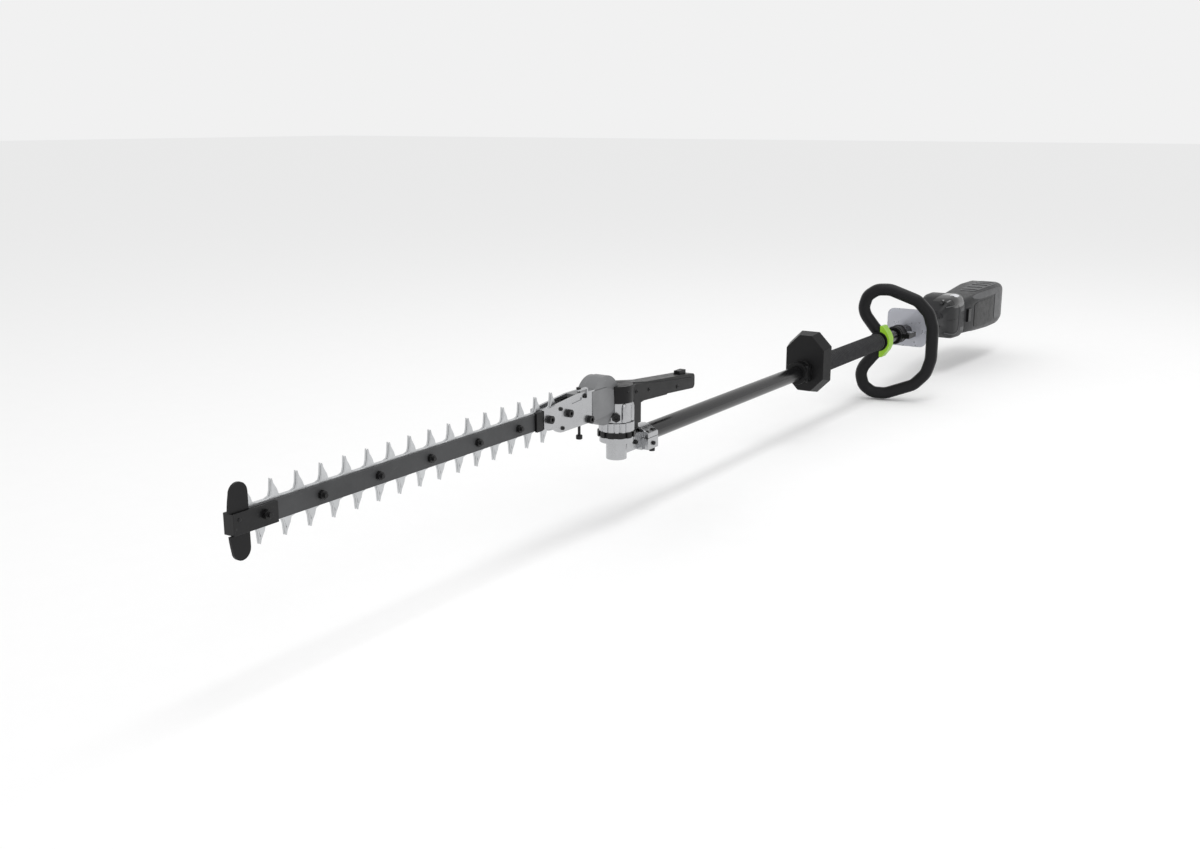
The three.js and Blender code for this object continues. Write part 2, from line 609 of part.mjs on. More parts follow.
// ---------------------------------------------------------------- pivot and elbow

function indexRing() {
  const blank = rod('z', FLANGE_TOP_Z + GAP, INDEX_TOP_Z, INDEX_RADIUS, [0, 0], 48);
  const notches = [];
  for (let i = 0; i < NOTCH_COUNT; i += 1) {
    const notch = box(INDEX_RADIUS - NOTCH_DEPTH, INDEX_RADIUS + 2, -NOTCH_HALF, NOTCH_HALF,
      FLANGE_TOP_Z, INDEX_TOP_Z + 1);
    notches.push(notch.rotateZ((i * 2 * Math.PI) / NOTCH_COUNT));
  }
  const bore = rod('z', FLANGE_TOP_Z, INDEX_TOP_Z + 1, SLEEVE_RADIUS + GAP, [0, 0], 32);
  return part('index_ring', cut(blank, bore, ...notches), blackSteel);
}

function pivotSleeve() {
  const sleeve = rod('z', FLANGE_TOP_Z - 4.4, COLUMN_BOTTOM_Z - 1, SLEEVE_RADIUS, [0, 0], 32);
  const bore = rod('z', FLANGE_TOP_Z - 6, COLUMN_BOTTOM_Z, SLEEVE_BORE, [0, 0], 24);
  return part('pivot_sleeve', cut(sleeve, bore), gearSteel);
}

const tubeSeat = (x0, x1) => rod('x', x0, x1, TUBE_RADIUS + GAP, [0, 0], 32);

const clampBoltHoles = (z0, z1) => [-CLAMP_BOLT_Y, CLAMP_BOLT_Y].map((y) =>
  rod('z', z0, z1, CLAMP_BOLT_RADIUS + GAP, [CLAMP_BOLT_X, y], 12));

function elbow() {
  const boss = rod('z', BOSS_BOTTOM_Z, FLANGE_BOTTOM_Z + 0.1, BOSS_RADIUS, [0, 0], 24);
  const flange = rod('z', FLANGE_BOTTOM_Z, FLANGE_TOP_Z, FLANGE_RADIUS, [0, 0], 32);
  const arm = box(0, CLAMP_FRONT_X, -10, 10, -14, 9);
  const lowerClamp = box(CLAMP_FRONT_X, CLAMP_REAR_X, -CLAMP_HALF_Y, CLAMP_HALF_Y, -CLAMP_HALF_Z, -GAP);
  const wall = box(CLAMP_FRONT_X - 4, CLAMP_FRONT_X + 0.1, -14, 14, -CLAMP_HALF_Z, 9);
  const gearSpace = rod('z', BOSS_BOTTOM_Z + 3, FLANGE_TOP_Z + 1, 11.7, [0, 0], 24);
  const sleeveSeat = rod('z', FLANGE_TOP_Z - 4.7, FLANGE_TOP_Z + 1, SLEEVE_RADIUS + GAP, [0, 0], 32);
  const shaftBore = rod('x', 0, TUBE_FRONT_X, 6.4, [0, 0], 16);
  const body = cut(join(boss, flange, arm, lowerClamp, wall), gearSpace, sleeveSeat, shaftBore,
    tubeSeat(TUBE_FRONT_X - GAP, CLAMP_REAR_X + 1), ...clampBoltHoles(-CLAMP_HALF_Z - 1, 1));
  return part('elbow', body, castAluminium);
}

function clampCap() {
  const shape = new THREE.Shape();
  shape.moveTo(-CLAMP_HALF_Y, GAP);
  shape.lineTo(CLAMP_HALF_Y, GAP);
  shape.lineTo(CLAMP_HALF_Y, 7);
  shape.lineTo(CLAMP_HALF_Y - 6, 10);
  shape.quadraticCurveTo(0, 22, -CLAMP_HALF_Y + 6, 10);
  shape.lineTo(-CLAMP_HALF_Y, 7);
  const blank = plateYZ(shape, CLAMP_FRONT_X + GAP, CLAMP_REAR_X, 6);
  return part('clamp_cap', cut(blank, tubeSeat(CLAMP_FRONT_X - 1, CLAMP_REAR_X + 1),
    ...clampBoltHoles(-1, CLAMP_HALF_Z)), castAluminium);
}

function clampBolt(name, y) {
  const shank = rod('z', -CLAMP_HALF_Z - 1, 12, CLAMP_BOLT_RADIUS, [CLAMP_BOLT_X, y], 12);
  const head = rod('z', -CLAMP_HALF_Z - 5, -CLAMP_HALF_Z - GAP, 4.4, [CLAMP_BOLT_X, y], 12);
  return part(name, join(shank, head), blackSteel);
}

// ---------------------------------------------------------------- adjusting handle

function adjustHandleBlank() {
  const cap = rod('z', COLUMN_SHOULDER_Z + GAP, CAP_TOP_Z, CAP_RADIUS, [0, 0], 32);
  const arm = new THREE.Shape();
  arm.moveTo(6, COLUMN_SHOULDER_Z + GAP);
  arm.lineTo(25.8, COLUMN_SHOULDER_Z + GAP);
  arm.lineTo(25.8, 24);
  arm.lineTo(46, 24);
  arm.lineTo(46, 52);
  arm.quadraticCurveTo(46.5, 57, 53, 56.4);
  arm.lineTo(ARM_END_X - 8, 46.6);
  arm.quadraticCurveTo(ARM_END_X, 46.2, ARM_END_X, 53);
  arm.lineTo(ARM_END_X, 62);
  arm.quadraticCurveTo(ARM_END_X, 68.6, ARM_END_X - 7, 69.4);
  arm.lineTo(62, 80);
  arm.quadraticCurveTo(34, 84, 20, CAP_TOP_Z);
  arm.lineTo(6, CAP_TOP_Z);
  const grip = plateXZ(arm, -ARM_HALF_WIDTH, ARM_HALF_WIDTH, 5);
  const neckSeat = rod('z', COLUMN_SHOULDER_Z - 1, COLUMN_TOP_Z + GAP, NECK_RADIUS + GAP, [0, 0], 32);
  const leverSlot = box(24, 133, -LEVER_HALF_WIDTH - GAP, LEVER_HALF_WIDTH + GAP, 10, 67);
  const buttonSlot = box(BUTTON_X - 10.4, BUTTON_X + 10.4, -5.4, 5.4, 60, 90);
  const pinHole = rod('y', -10.6, 10.6, 2.3, [LEVER_PIVOT_X, LEVER_PIVOT_Z], 12);
  return cut(join(cap, grip), neckSeat, drumEnvelope(GAP), leverSlot, buttonSlot, pinHole);
}

function adjustHandleHalf(name, side) {
  const y0 = side < 0 ? -CAP_RADIUS - 1 : GAP / 2;
  const y1 = side < 0 ? -GAP / 2 : CAP_RADIUS + 1;
  const half = keep(adjustHandleBlank(), box(-40, ARM_END_X + 1, y0, y1, 0, CAP_TOP_Z + 1));
  return part(name, half, blackPlastic);
}

// The lever hangs on a pin under the handle; its foot faces a notch of the index ring.
function releaseLever() {
  const shape = polygon([
    [44, 65], [60, 65.6], [126, 58], [130, 53], [127, 48.6], [62, 51.6], [50, 50], [45.4, 44],
    [45.4, 16], [43, 13.4], [31, 13.4], [INDEX_RADIUS + 0.6, 14.4],
    [INDEX_RADIUS + 0.6, 19], [28.6, 20], [28.6, 52], [34, 62],
  ]);
  const body = plateXZ(shape, -LEVER_HALF_WIDTH, LEVER_HALF_WIDTH);
  const bore = rod('y', -10, 10, 2.3, [LEVER_PIVOT_X, LEVER_PIVOT_Z], 12);
  return part('release_lever', cut(body, bore), blackPlastic);
}

function leverPin() {
  return part('lever_pin', rod('y', -10.3, 10.3, 2, [LEVER_PIVOT_X, LEVER_PIVOT_Z], 12), gearSteel);
}

function lockButton() {
  const stem = box(BUTTON_X - 10, BUTTON_X + 10, -5, 5, 63.5, 76.4);
  return part('lock_button', stem, blackPlastic);
}

// ---------------------------------------------------------------- shaft and its fittings

function pipe(name, x0, x1, outer, inner, material, sides = 32) {
  return part(name, cut(rod('x', x0, x1, outer, [0, 0], sides),
    rod('x', x0 - 1, x1 + 1, inner, [0, 0], sides)), material);
}

// The long shaft is thinner between its journals, which run in the bevel housing, bushings and motor.
function driveShaft() {
  const bevel = bevelGear(BEVEL_TEETH, ...LARGE_BEVEL)
    .rotateZ(Math.PI / BEVEL_TEETH)
    .rotateY(-Math.PI / 2);
  const thin = rod('x', 7, MOTOR_REAR_X, DRIVE_RADIUS - 0.4, [0, 0], 12);
  const frontJournal = [6.9, 60];
  const motorJournal = [MOTOR_FRONT_X - 12, MOTOR_REAR_X + 8];
  const journals = [frontJournal, BUSHING_FRONT, BUSHING_REAR, motorJournal].map(([x0, x1]) =>
    rod('x', x0, x1, DRIVE_RADIUS, [0, 0], 12));
  return part('drive_shaft', join(thin, bevel, ...journals), gearSteel);
}

// Corners of an eight-sided ring at x: (y, z) ranges with cut corners.
const octagon = (x, [y0, y1], [z0, z1], corner) => [
  [x, y1, z0 + corner], [x, y1, z1 - corner], [x, y1 - corner, z1], [x, y0 + corner, z1],
  [x, y0, z1 - corner], [x, y0, z0 + corner], [x, y0 + corner, z0], [x, y1 - corner, z0],
];

// A dished eight-sided guard, open towards the battery, with a collar around the tube.
function handGuard() {
  const rear = GUARD_X + GUARD_DEPTH;
  const wall = 2.6;
  const [front, back] = [[[-42, 30], [-34, 66]], [[-47, 35], [-39, 71]]];
  const inward = ([low, high]) => [low + wall, high - wall];
  const outer = loft([octagon(GUARD_X, ...front, 24), octagon(rear, ...back, 24)]);
  const innerFront = octagon(GUARD_X + 3, ...front.map(inward), 22);
  const innerRear = octagon(rear + 1, ...back.map(inward), 23);
  const inner = loft([innerFront, innerRear]);
  const collar = rod('x', GUARD_X - 22, GUARD_X + 20, 19.5, [0, 0], 28);
  const dished = join(cut(outer, inner), collar);
  return part('hand_guard', cut(dished, tubeSeat(GUARD_X - 30, GUARD_X + 40)), blackPlastic);
}

// The loop's plane holds Z and leans by LOOP_TILT; s runs from the shaft up in use (-Y).
const inLoopPlane = (s, z) => new THREE.Vector3(
  LOOP_X + s * Math.sin(LOOP_TILT), -s * Math.cos(LOOP_TILT), z);

function loopHandle() {
  const half = [[-2, 12], [-15, 27], [-31, 46], [-41, 68], [-35, 91], [-18, 105], [8, 108], [40, 100],
    [69, 85], [90, 63], [100, 36]];
  const mirrored = half.map(([s, z]) => [s, -z]).reverse();
  const path = new THREE.CatmullRomCurve3(
    [...half, ...mirrored].map(([s, z]) => inLoopPlane(s, z - LOOP_DROP)), false, 'centripetal');
  const section = new THREE.Shape();
  section.absarc(0, 0, LOOP_RADIUS, 0, 2 * Math.PI);
  const tube = new THREE.ExtrudeGeometry(section, { steps: 38, extrudePath: path, curveSegments: 5 });
  const hub = rod('x', LOOP_X - 22, LOOP_X + 14, 20, [0, 0], 24);
  const capSpace = box(LOOP_CLAMP_X - 14, LOOP_CLAMP_X + 14, -60, -2, -40, 40);
  const body = cut(join(hub, tube), capSpace, tubeSeat(LOOP_X - 60, LOOP_X + 60));
  return part('loop_handle', body, loopRubber);
}

// The cap closes the loop's hub over the shaft.
const LOOP_CLAMP_X = LOOP_X - 8;

function loopClamp() {
  const outline = [[2.4, 32], [8, 32], [19, 17], [23, 7], [23, -7], [19, -17], [8, -32], [2.4, -32]];
  const depth = 12;
  const rings = [-depth, depth].map((x) => outline.map(([s, z]) => [LOOP_CLAMP_X + x, -s, z]));
  return part('loop_clamp', cut(loft(rings), tubeSeat(LOOP_X - 40, LOOP_X + 40)), limePlastic);
}

function harnessRing() {
  const collar = rod('x', HARNESS_X - 20, HARNESS_X + 20, 18, [0, 0], 28);
  const lug = box(HARNESS_X - 16, HARNESS_X + 26, -33, -14, -5, 5);
  const eye = rod('z', -6, 6, 5, [HARNESS_X + 14, -24.5], 16);
  const bore = rod('x', HARNESS_X - 30, HARNESS_X + 30, TUBE_RADIUS + GAP, [0, 0], 32);
  return part('harness_ring', cut(join(collar, lug), bore, eye), blackPlastic);
}

function hipPlate() {
  const plate = plateYZ(roundedRect(-45, 42, -33, 47, 14), PLATE_X, PLATE_X + 4, 5);
  const bore = rod('x', PLATE_X - 1, PLATE_X + 5, TUBE_RADIUS + GAP, [0, 0], 32);
  return part('hip_plate', cut(plate, bore), clearGrey);
}

// ---------------------------------------------------------------- rear housing

// Cross-sections of the rear body: x, y range, z range and corner radius.
const HOUSING_SECTIONS = [
  [HOUSING_FRONT_X, -19, 19, -18, 18, 12],
  [HOUSING_FRONT_X + 12, -22, 23, -20, 20, 14],
  [1330, -24, 26, -20, 20, 14],
  [1352, -30, 32, -32, 34, 14],
  [1368, -38, 40, -42, 46, 14],
  [1390, -41, 43, -46, 52, 16],
  [1424, -42, 44, -47, 52, 16],
  [HOUSING_REAR_X, -41, 43, -43, 33.5, 16],
];

// One rounded cross-section at x, drawn corner by corner; the inset leaves room for a wall.
function roundedSection([x, y0, y1, z0, z1, radius], inset) {
  const steps = 2;
  const reach = radius - inset;
  const corners = [[y1, z1], [y0, z1], [y0, z0], [y1, z0]];
  return corners.flatMap(([y, z], corner) => {
    const points = [];
    for (let i = 0; i <= steps; i += 1) {
      const angle = ((corner + i / steps) * Math.PI) / 2;
      points.push([x, y - Math.sign(y) * radius + reach * Math.cos(angle),
        z - Math.sign(z) * radius + reach * Math.sin(angle)]);
    }
    return points;
  });
}

const rearBody = (sections, inset) => loft(sections.map((section) => roundedSection(section, inset)));

const housingBlank = (inset) => rearBody(HOUSING_SECTIONS, inset);

function housingHalf(name, side) {
  const z0 = side < 0 ? -80 : GAP / 2;
  const z1 = side < 0 ? -GAP / 2 : 80;
  const wall = 3;
  const hollow = keep(housingBlank(wall), box(HOUSING_FRONT_X + 14, HOUSING_REAR_X - 8, -80, 80, -80, 80));
  const rearOpening = box(HOUSING_REAR_X - 10, HOUSING_REAR_X + 1, -DOCK_HALF_Y - GAP,
    DOCK_HALF_Y + GAP, -DOCK_HALF_Z - GAP, DOCK_HALF_Z + GAP);
  const triggerSlot = box(TRIGGER_X - 16, TRIGGER_X + 24, 10, 40, -7, 7);
  const lockOffSlot = box(LOCK_OFF_X - 9.4, LOCK_OFF_X + 9.4, -40, -10, -6.4, 6.4);
  const buttonSeat = rod('x', 1340, 1380, 5.3, [BUTTON_SEAT_Y, BUTTON_SEAT_Z], 16);
  const frontSeat = tubeSeat(HOUSING_FRONT_X - 1, HOUSING_FRONT_X + 20);
  const shell = cut(housingBlank(0), hollow, frontSeat, rearOpening, triggerSlot, lockOffSlot, buttonSeat);
  return part(name, keep(shell, box(HOUSING_FRONT_X - 1, HOUSING_REAR_X + 1, -80, 80, z0, z1)),
    housingPlastic);
}

function trigger() {
  const shape = polygon([
    [TRIGGER_X - 14, 16], [TRIGGER_X - 14, 24], [TRIGGER_X - 6, 34], [TRIGGER_X + 8, 33],
    [TRIGGER_X + 20, 37], [TRIGGER_X + 22, 20], [TRIGGER_X + 10, 15],
  ]);
  return part('trigger', plateXY(shape, -6.6, 6.6), blackPlastic);
}

function lockOff() {
  return part('lock_off', box(LOCK_OFF_X - 9, LOCK_OFF_X + 9, -29, -17, -6, 6), blackPlastic);
}

function powerButton() {
  return part('power_button', rod('x', 1352, 1366, 5, [BUTTON_SEAT_Y, BUTTON_SEAT_Z], 16), darkGloss);
}

function motorStator() {
  const ring = rod('x', MOTOR_FRONT_X, MOTOR_REAR_X, MOTOR_RADIUS, [0, 0], 32);
  const bore = rod('x', MOTOR_FRONT_X - 1, MOTOR_REAR_X + 1, 18, [0, 0], 24);
  return part('motor_stator', cut(ring, bore), copper);
}

function motorRotor() {
  const core = rod('x', MOTOR_FRONT_X, MOTOR_REAR_X, 17, [0, 0], 24);
  const fan = toothedWheel(11, 24, 12, MOTOR_FRONT_X - 8, MOTOR_FRONT_X - 1).rotateY(Math.PI / 2);
  const bore = rod('x', MOTOR_FRONT_X - 10, MOTOR_REAR_X + 1, DRIVE_RADIUS + GAP, [0, 0], 12);
  return part('motor_rotor', cut(join(core, fan, rod('x', MOTOR_FRONT_X - 2, MOTOR_FRONT_X + 1, 8)), bore),
    gearSteel);
}

function controller() {
  return part('controller', box(1390, 1428, -36, -31.5, -27, 27), darkGloss);
}

function batteryDock() {
  return part('battery_dock', box(HOUSING_REAR_X - 7.6, BATTERY_FRONT_X + 50, -DOCK_HALF_Y,
    DOCK_HALF_Y, -DOCK_HALF_Z, DOCK_HALF_Z), blackPlastic);
}

function battery() {
  const blank = rearBody([
    [BATTERY_FRONT_X, -41, 43, -43, 33.5, 16],
    [BATTERY_FRONT_X + 80, -47, 41, -46, 41, 16],
    [BATTERY_FRONT_X + 180, -50, 37, -50, 52, 16],
    [BATTERY_FRONT_X + 250, -50, 35, -50, 52, 16],
    [BATTERY_REAR_X - 14, -46, 32, -47, 48, 17],
    [BATTERY_REAR_X, -36, 22, -37, 38, 16],
  ], 0);
  const dockSpace = box(BATTERY_FRONT_X - 1, BATTERY_FRONT_X + 52, -DOCK_HALF_Y - GAP,
    DOCK_HALF_Y + GAP, -DOCK_HALF_Z - GAP, DOCK_HALF_Z + GAP);
  const latchSpace = box(BATTERY_FRONT_X + 11.6, BATTERY_FRONT_X + 32.4, -70, -37, -15.4, 15.4);
  return part('battery', cut(blank, dockSpace, latchSpace), housingPlastic);
}

function batteryLatch() {
  return part('battery_latch', box(BATTERY_FRONT_X + 12, BATTERY_FRONT_X + 32, -47, -39.6, -15, 15),
    blackPlastic);
}

// ---------------------------------------------------------------- assembly

const group = new THREE.Group();
group.add(
  tipBracket(),
  tipGuard(),
  guideBar(),
  blade('near_blade', -2.7),
  blade('far_blade', 0.2),
  throughBolt('tip_bolt', TIP_BOLT_X, BLADE_Z, STRAP_NEAR_Y, STRAP_FAR_Y + STRAP_THICK),
  ...BAR_BOLT_X.map((x, i) => throughBolt(`bar_bolt_${i + 1}`, x, BLADE_Z, BAR_NEAR_Y, 3)),
  barEndBlock(),
  nearBracket(),
  farBracket(),
  bracketBolt(0),
  bracketBolt(1),
  bracketBolt(2),
  gearcaseBody(),
  headColumn(),
  gearcaseCover(),
  crankGear(),
  conRod('con_rod_near', -1),
  conRod('con_rod_far', 1),
  pinionShaft(),
  uprightShaft(),
  columnBearing(),
  greasePlug(),
  collarRing(),
  indexRing(),
  pivotSleeve(),
  elbow(),
  clampCap(),
  clampBolt('clamp_bolt_near', -CLAMP_BOLT_Y),
  clampBolt('clamp_bolt_far', CLAMP_BOLT_Y),
  adjustHandleHalf('adjust_handle_near', -1),
  adjustHandleHalf('adjust_handle_far', 1),
  releaseLever(),
  leverPin(),
  lockButton(),
  pipe('shaft_tube', TUBE_FRONT_X, TUBE_REAR_X, TUBE_RADIUS, TUBE_BORE, tubePaint),
  driveShaft(),
  pipe('tube_bushing_front', ...BUSHING_FRONT, TUBE_BORE - GAP, DRIVE_RADIUS + GAP, softGrip, 20),
  pipe('tube_bushing_rear', ...BUSHING_REAR, TUBE_BORE - GAP, DRIVE_RADIUS + GAP, softGrip, 20),
  handGuard(),
  pipe('front_grip', GRIP_FRONT_X, GRIP_REAR_X, GRIP_RADIUS, TUBE_RADIUS + GAP, softGrip),
  loopHandle(),
  loopClamp(),
  harnessRing(),
  hipPlate(),
  housingHalf('housing_upper', 1),
  housingHalf('housing_lower', -1),
  trigger(),
  lockOff(),
  powerButton(),
  motorStator(),
  motorRotor(),
  controller(),
  batteryDock(),
  battery(),
  batteryLatch(),
);

const bounds = new THREE.Box3().setFromObject(group);
const middle = bounds.getCenter(new THREE.Vector3());
group.position.set(-middle.x, -middle.y, -bounds.min.z);

export default group;
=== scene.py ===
"""Looks of a pole hedge trimmer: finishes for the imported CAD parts, and the small pieces around them.

Lengths in the piece functions are millimetres from the point where the head's swing axis crosses the
shaft's axis: +X towards the battery, +Z up, -Y towards the side that is uppermost in use.
"""

import json
import math

import bpy
from mathutils import Matrix, Vector


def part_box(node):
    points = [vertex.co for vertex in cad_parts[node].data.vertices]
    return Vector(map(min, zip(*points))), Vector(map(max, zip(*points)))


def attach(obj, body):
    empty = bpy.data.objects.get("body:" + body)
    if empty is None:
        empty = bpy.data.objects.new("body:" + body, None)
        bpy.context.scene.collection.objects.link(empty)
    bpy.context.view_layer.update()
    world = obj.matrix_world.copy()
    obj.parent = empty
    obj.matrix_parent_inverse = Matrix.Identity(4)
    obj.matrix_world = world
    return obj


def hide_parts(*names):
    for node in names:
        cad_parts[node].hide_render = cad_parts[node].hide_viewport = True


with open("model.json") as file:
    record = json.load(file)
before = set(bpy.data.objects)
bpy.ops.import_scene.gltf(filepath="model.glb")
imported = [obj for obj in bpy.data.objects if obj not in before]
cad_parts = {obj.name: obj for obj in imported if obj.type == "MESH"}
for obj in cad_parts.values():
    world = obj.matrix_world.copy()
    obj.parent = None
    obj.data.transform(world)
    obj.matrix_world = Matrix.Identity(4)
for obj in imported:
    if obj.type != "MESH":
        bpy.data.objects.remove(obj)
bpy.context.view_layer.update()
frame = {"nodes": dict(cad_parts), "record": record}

# ---------------------------------------------------------------- places


def middle(node):
    low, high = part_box(node)
    return (low + high) / 2


PIVOT = Vector((middle("pivot_sleeve").x, middle("shaft_tube").y, middle("shaft_tube").z))
BLADE_Z = (middle("guide_bar").z - PIVOT.z) * 1000


def place(point):
    """A point in millimetres from the pivot, as metres in the shared frame."""
    return PIVOT + Vector(point) / 1000


def face_of(node, axis, side):
    """Where a node ends along one axis, in millimetres from the pivot; side is 0 for low, 1 for high."""
    return (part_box(node)[side][axis] - PIVOT[axis]) * 1000


# ---------------------------------------------------------------- finishes


def new_node(tree, kind, **inputs):
    node = tree.nodes.new(kind)
    for socket, value in inputs.items():
        node.inputs[socket].default_value = value
    return node


def noise(tree, coordinates, scale, detail, roughness=0.6):
    node = new_node(tree, "ShaderNodeTexNoise", Scale=scale, Detail=detail, Roughness=roughness)
    tree.links.new(coordinates, node.inputs["Vector"])
    return node.outputs["Fac"]


def spread(tree, value, low, high, new_low, new_high):
    node = tree.nodes.new("ShaderNodeMapRange")
    tree.links.new(value, node.inputs["Value"])
    node.inputs["From Min"].default_value = low
    node.inputs["From Max"].default_value = high
    node.inputs["To Min"].default_value = new_low
    node.inputs["To Max"].default_value = new_high
    return node.outputs["Result"]


def finish(name, colour, roughness, metallic=0.0, mottle=0.1, grain=700, bump=0.15, stretch=(1, 1, 1),
           wear=0.2, wear_colour=None, coat=0.0, transmission=0.0, specular=0.5):
    """A procedural finish: blotchy colour, worn flecks, uneven gloss and a fine surface grain."""
    made = bpy.data.materials.new(name)
    made.use_nodes = True
    tree = made.node_tree
    shader = tree.nodes["Principled BSDF"]
    shader.inputs["Metallic"].default_value = metallic
    shader.inputs["Specular IOR Level"].default_value = specular
    shader.inputs["Coat Weight"].default_value = coat
    shader.inputs["Coat Roughness"].default_value = 0.15
    shader.inputs["Transmission Weight"].default_value = transmission

    here = tree.nodes.new("ShaderNodeTexCoord").outputs["Object"]
    mapping = tree.nodes.new("ShaderNodeMapping")
    mapping.inputs["Scale"].default_value = stretch
    tree.links.new(here, mapping.inputs["Vector"])
    stretched = mapping.outputs["Vector"]

    blotches = tree.nodes.new("ShaderNodeMix")
    blotches.data_type = "RGBA"
    blotches.inputs["A"].default_value = (*[c * (1 - mottle) for c in colour], 1)
    blotches.inputs["B"].default_value = (*[min(1, c * (1 + mottle)) for c in colour], 1)
    tree.links.new(spread(tree, noise(tree, here, 22, 6), 0.3, 0.7, 0, 1), blotches.inputs["Factor"])

    flecks = tree.nodes.new("ShaderNodeMix")
    flecks.data_type = "RGBA"
    flecks.inputs["B"].default_value = (*(wear_colour or [min(1, c * 1.5 + 0.03) for c in colour]), 1)
    tree.links.new(blotches.outputs["Result"], flecks.inputs["A"])
    tree.links.new(spread(tree, noise(tree, stretched, 260, 10, 0.7), 0.6, 0.74, 0, wear),
                   flecks.inputs["Factor"])
    tree.links.new(flecks.outputs["Result"], shader.inputs["Base Color"])

    gloss = spread(tree, noise(tree, stretched, 80, 8), 0.25, 0.75, roughness - 0.07, roughness + 0.09)
    tree.links.new(gloss, shader.inputs["Roughness"])
    relief = new_node(tree, "ShaderNodeBump", Strength=bump, Distance=0.0003)
    tree.links.new(noise(tree, stretched, grain, 4), relief.inputs["Height"])
    tree.links.new(relief.outputs["Normal"], shader.inputs["Normal"])
    return made


BARE_METAL = (0.62, 0.62, 0.63)
ALONG_BLADE = (0.12, 1, 1)
ALONG_SHAFT = (0.05, 1, 1)

FINISHES = {
    "cast_aluminium": finish("cast_aluminium", (0.43, 0.435, 0.445), 0.24, 0.95, mottle=0.06,
                             grain=260, bump=0.1, wear=0.12, wear_colour=(0.66, 0.66, 0.67)),
    "dark_casting": finish("dark_casting", (0.2, 0.203, 0.208), 0.4, 0.6, mottle=0.1, grain=520,
                           bump=0.3, wear=0.25, wear_colour=BARE_METAL),
    "blade_steel": finish("blade_steel", (0.55, 0.56, 0.57), 0.32, 0.9, mottle=0.1, grain=900,
                          bump=0.3, stretch=ALONG_BLADE, wear=0.35, wear_colour=(0.8, 0.8, 0.8)),
    "gear_steel": finish("gear_steel", (0.4, 0.41, 0.43), 0.33, 0.95, grain=900, bump=0.2),
    "black_steel": finish("black_steel", (0.008, 0.008, 0.0085), 0.34, 0.2, mottle=0.25, grain=800,
                          bump=0.3, wear=0.3, wear_colour=(0.12, 0.12, 0.12), specular=0.35),
    "bar_paint": finish("bar_paint", (0.052, 0.053, 0.055), 0.5, mottle=0.14, grain=650, bump=0.35,
                        stretch=(0.4, 1, 1), wear=0.25, wear_colour=(0.16, 0.16, 0.16),
                        specular=0.3),
    "tube_paint": finish("tube_paint", (0.005, 0.005, 0.0055), 0.2, mottle=0.15, grain=300,
                         bump=0.08, stretch=ALONG_SHAFT, wear=0.12, wear_colour=(0.06, 0.06, 0.06),
                         coat=0.1, specular=0.35),
    "black_plastic": finish("black_plastic", (0.006, 0.006, 0.0065), 0.36, mottle=0.15, grain=1300,
                            bump=0.4, wear=0.1, specular=0.22),
    "housing_plastic": finish("housing_plastic", (0.014, 0.0143, 0.0155), 0.38, mottle=0.12,
                              grain=1300, bump=0.4, wear=0.12, specular=0.25),
    "battery_panel": finish("battery_panel", (0.075, 0.076, 0.079), 0.42, mottle=0.1, grain=1100,
                            bump=0.45, wear=0.15, specular=0.35),
    "dark_gloss": finish("dark_gloss", (0.004, 0.004, 0.0045), 0.14, mottle=0.1, bump=0.02,
                         wear=0.04, coat=0.5, specular=0.5),
    "soft_grip": finish("soft_grip", (0.02, 0.02, 0.022), 0.6, mottle=0.14, grain=1000, bump=0.6,
                        wear=0.2, specular=0.25),
    "loop_rubber": finish("loop_rubber", (0.006, 0.006, 0.007), 0.4, mottle=0.15, grain=1000,
                          bump=0.5, wear=0.1, specular=0.22),
    "lime_plastic": finish("lime_plastic", (0.29, 0.56, 0.03), 0.34, mottle=0.05, grain=1200,
                           bump=0.2, wear=0.08, specular=0.3),
    "clear_grey": finish("clear_grey", (0.56, 0.57, 0.62), 0.3, mottle=0.02, grain=500, bump=0.03,
                         wear=0, transmission=0.5, specular=0.3),
    "copper": finish("copper", (0.62, 0.26, 0.1), 0.38, 0.9, grain=500, bump=0.5,
                     stretch=(1, 6, 1)),
}
FLOOR_FINISH = finish("floor", (0.93, 0.93, 0.93), 0.8, mottle=0.004, grain=40, bump=0.01, wear=0,
                      specular=0)

# ---------------------------------------------------------------- shading of edges

SOFT_ANGLE = math.radians(32)


def weld_and_smooth():
    """Joins each mesh's split corners and smooths it, except across its sharp edges."""
    group = bpy.data.node_groups.new("weld_and_smooth", "GeometryNodeTree")
    group.interface.new_socket("Geometry", in_out="INPUT", socket_type="NodeSocketGeometry")
    group.interface.new_socket("Geometry", in_out="OUTPUT", socket_type="NodeSocketGeometry")
    source = group.nodes.new("NodeGroupInput")
    weld = new_node(group, "GeometryNodeMergeByDistance", Distance=0.00002)
    faces = new_node(group, "GeometryNodeSetShadeSmooth")
    faces.domain = "FACE"
    edges = new_node(group, "GeometryNodeSetShadeSmooth")
    edges.domain = "EDGE"
    edges.inputs["Shade Smooth"].default_value = False
    angle = group.nodes.new("GeometryNodeInputMeshEdgeAngle")
    sharp = group.nodes.new("FunctionNodeCompare")
    sharp.data_type = "FLOAT"
    sharp.operation = "GREATER_THAN"
    sharp.inputs["B"].default_value = SOFT_ANGLE
    result = group.nodes.new("NodeGroupOutput")
    link = group.links.new
    link(source.outputs[0], weld.inputs["Geometry"])
    link(weld.outputs["Geometry"], faces.inputs["Geometry"])
    link(faces.outputs["Geometry"], edges.inputs["Geometry"])
    link(angle.outputs["Unsigned Angle"], sharp.inputs["A"])
    link(sharp.outputs["Result"], edges.inputs["Selection"])
    link(edges.outputs["Geometry"], result.inputs[0])
    return group


SMOOTHING = weld_and_smooth()


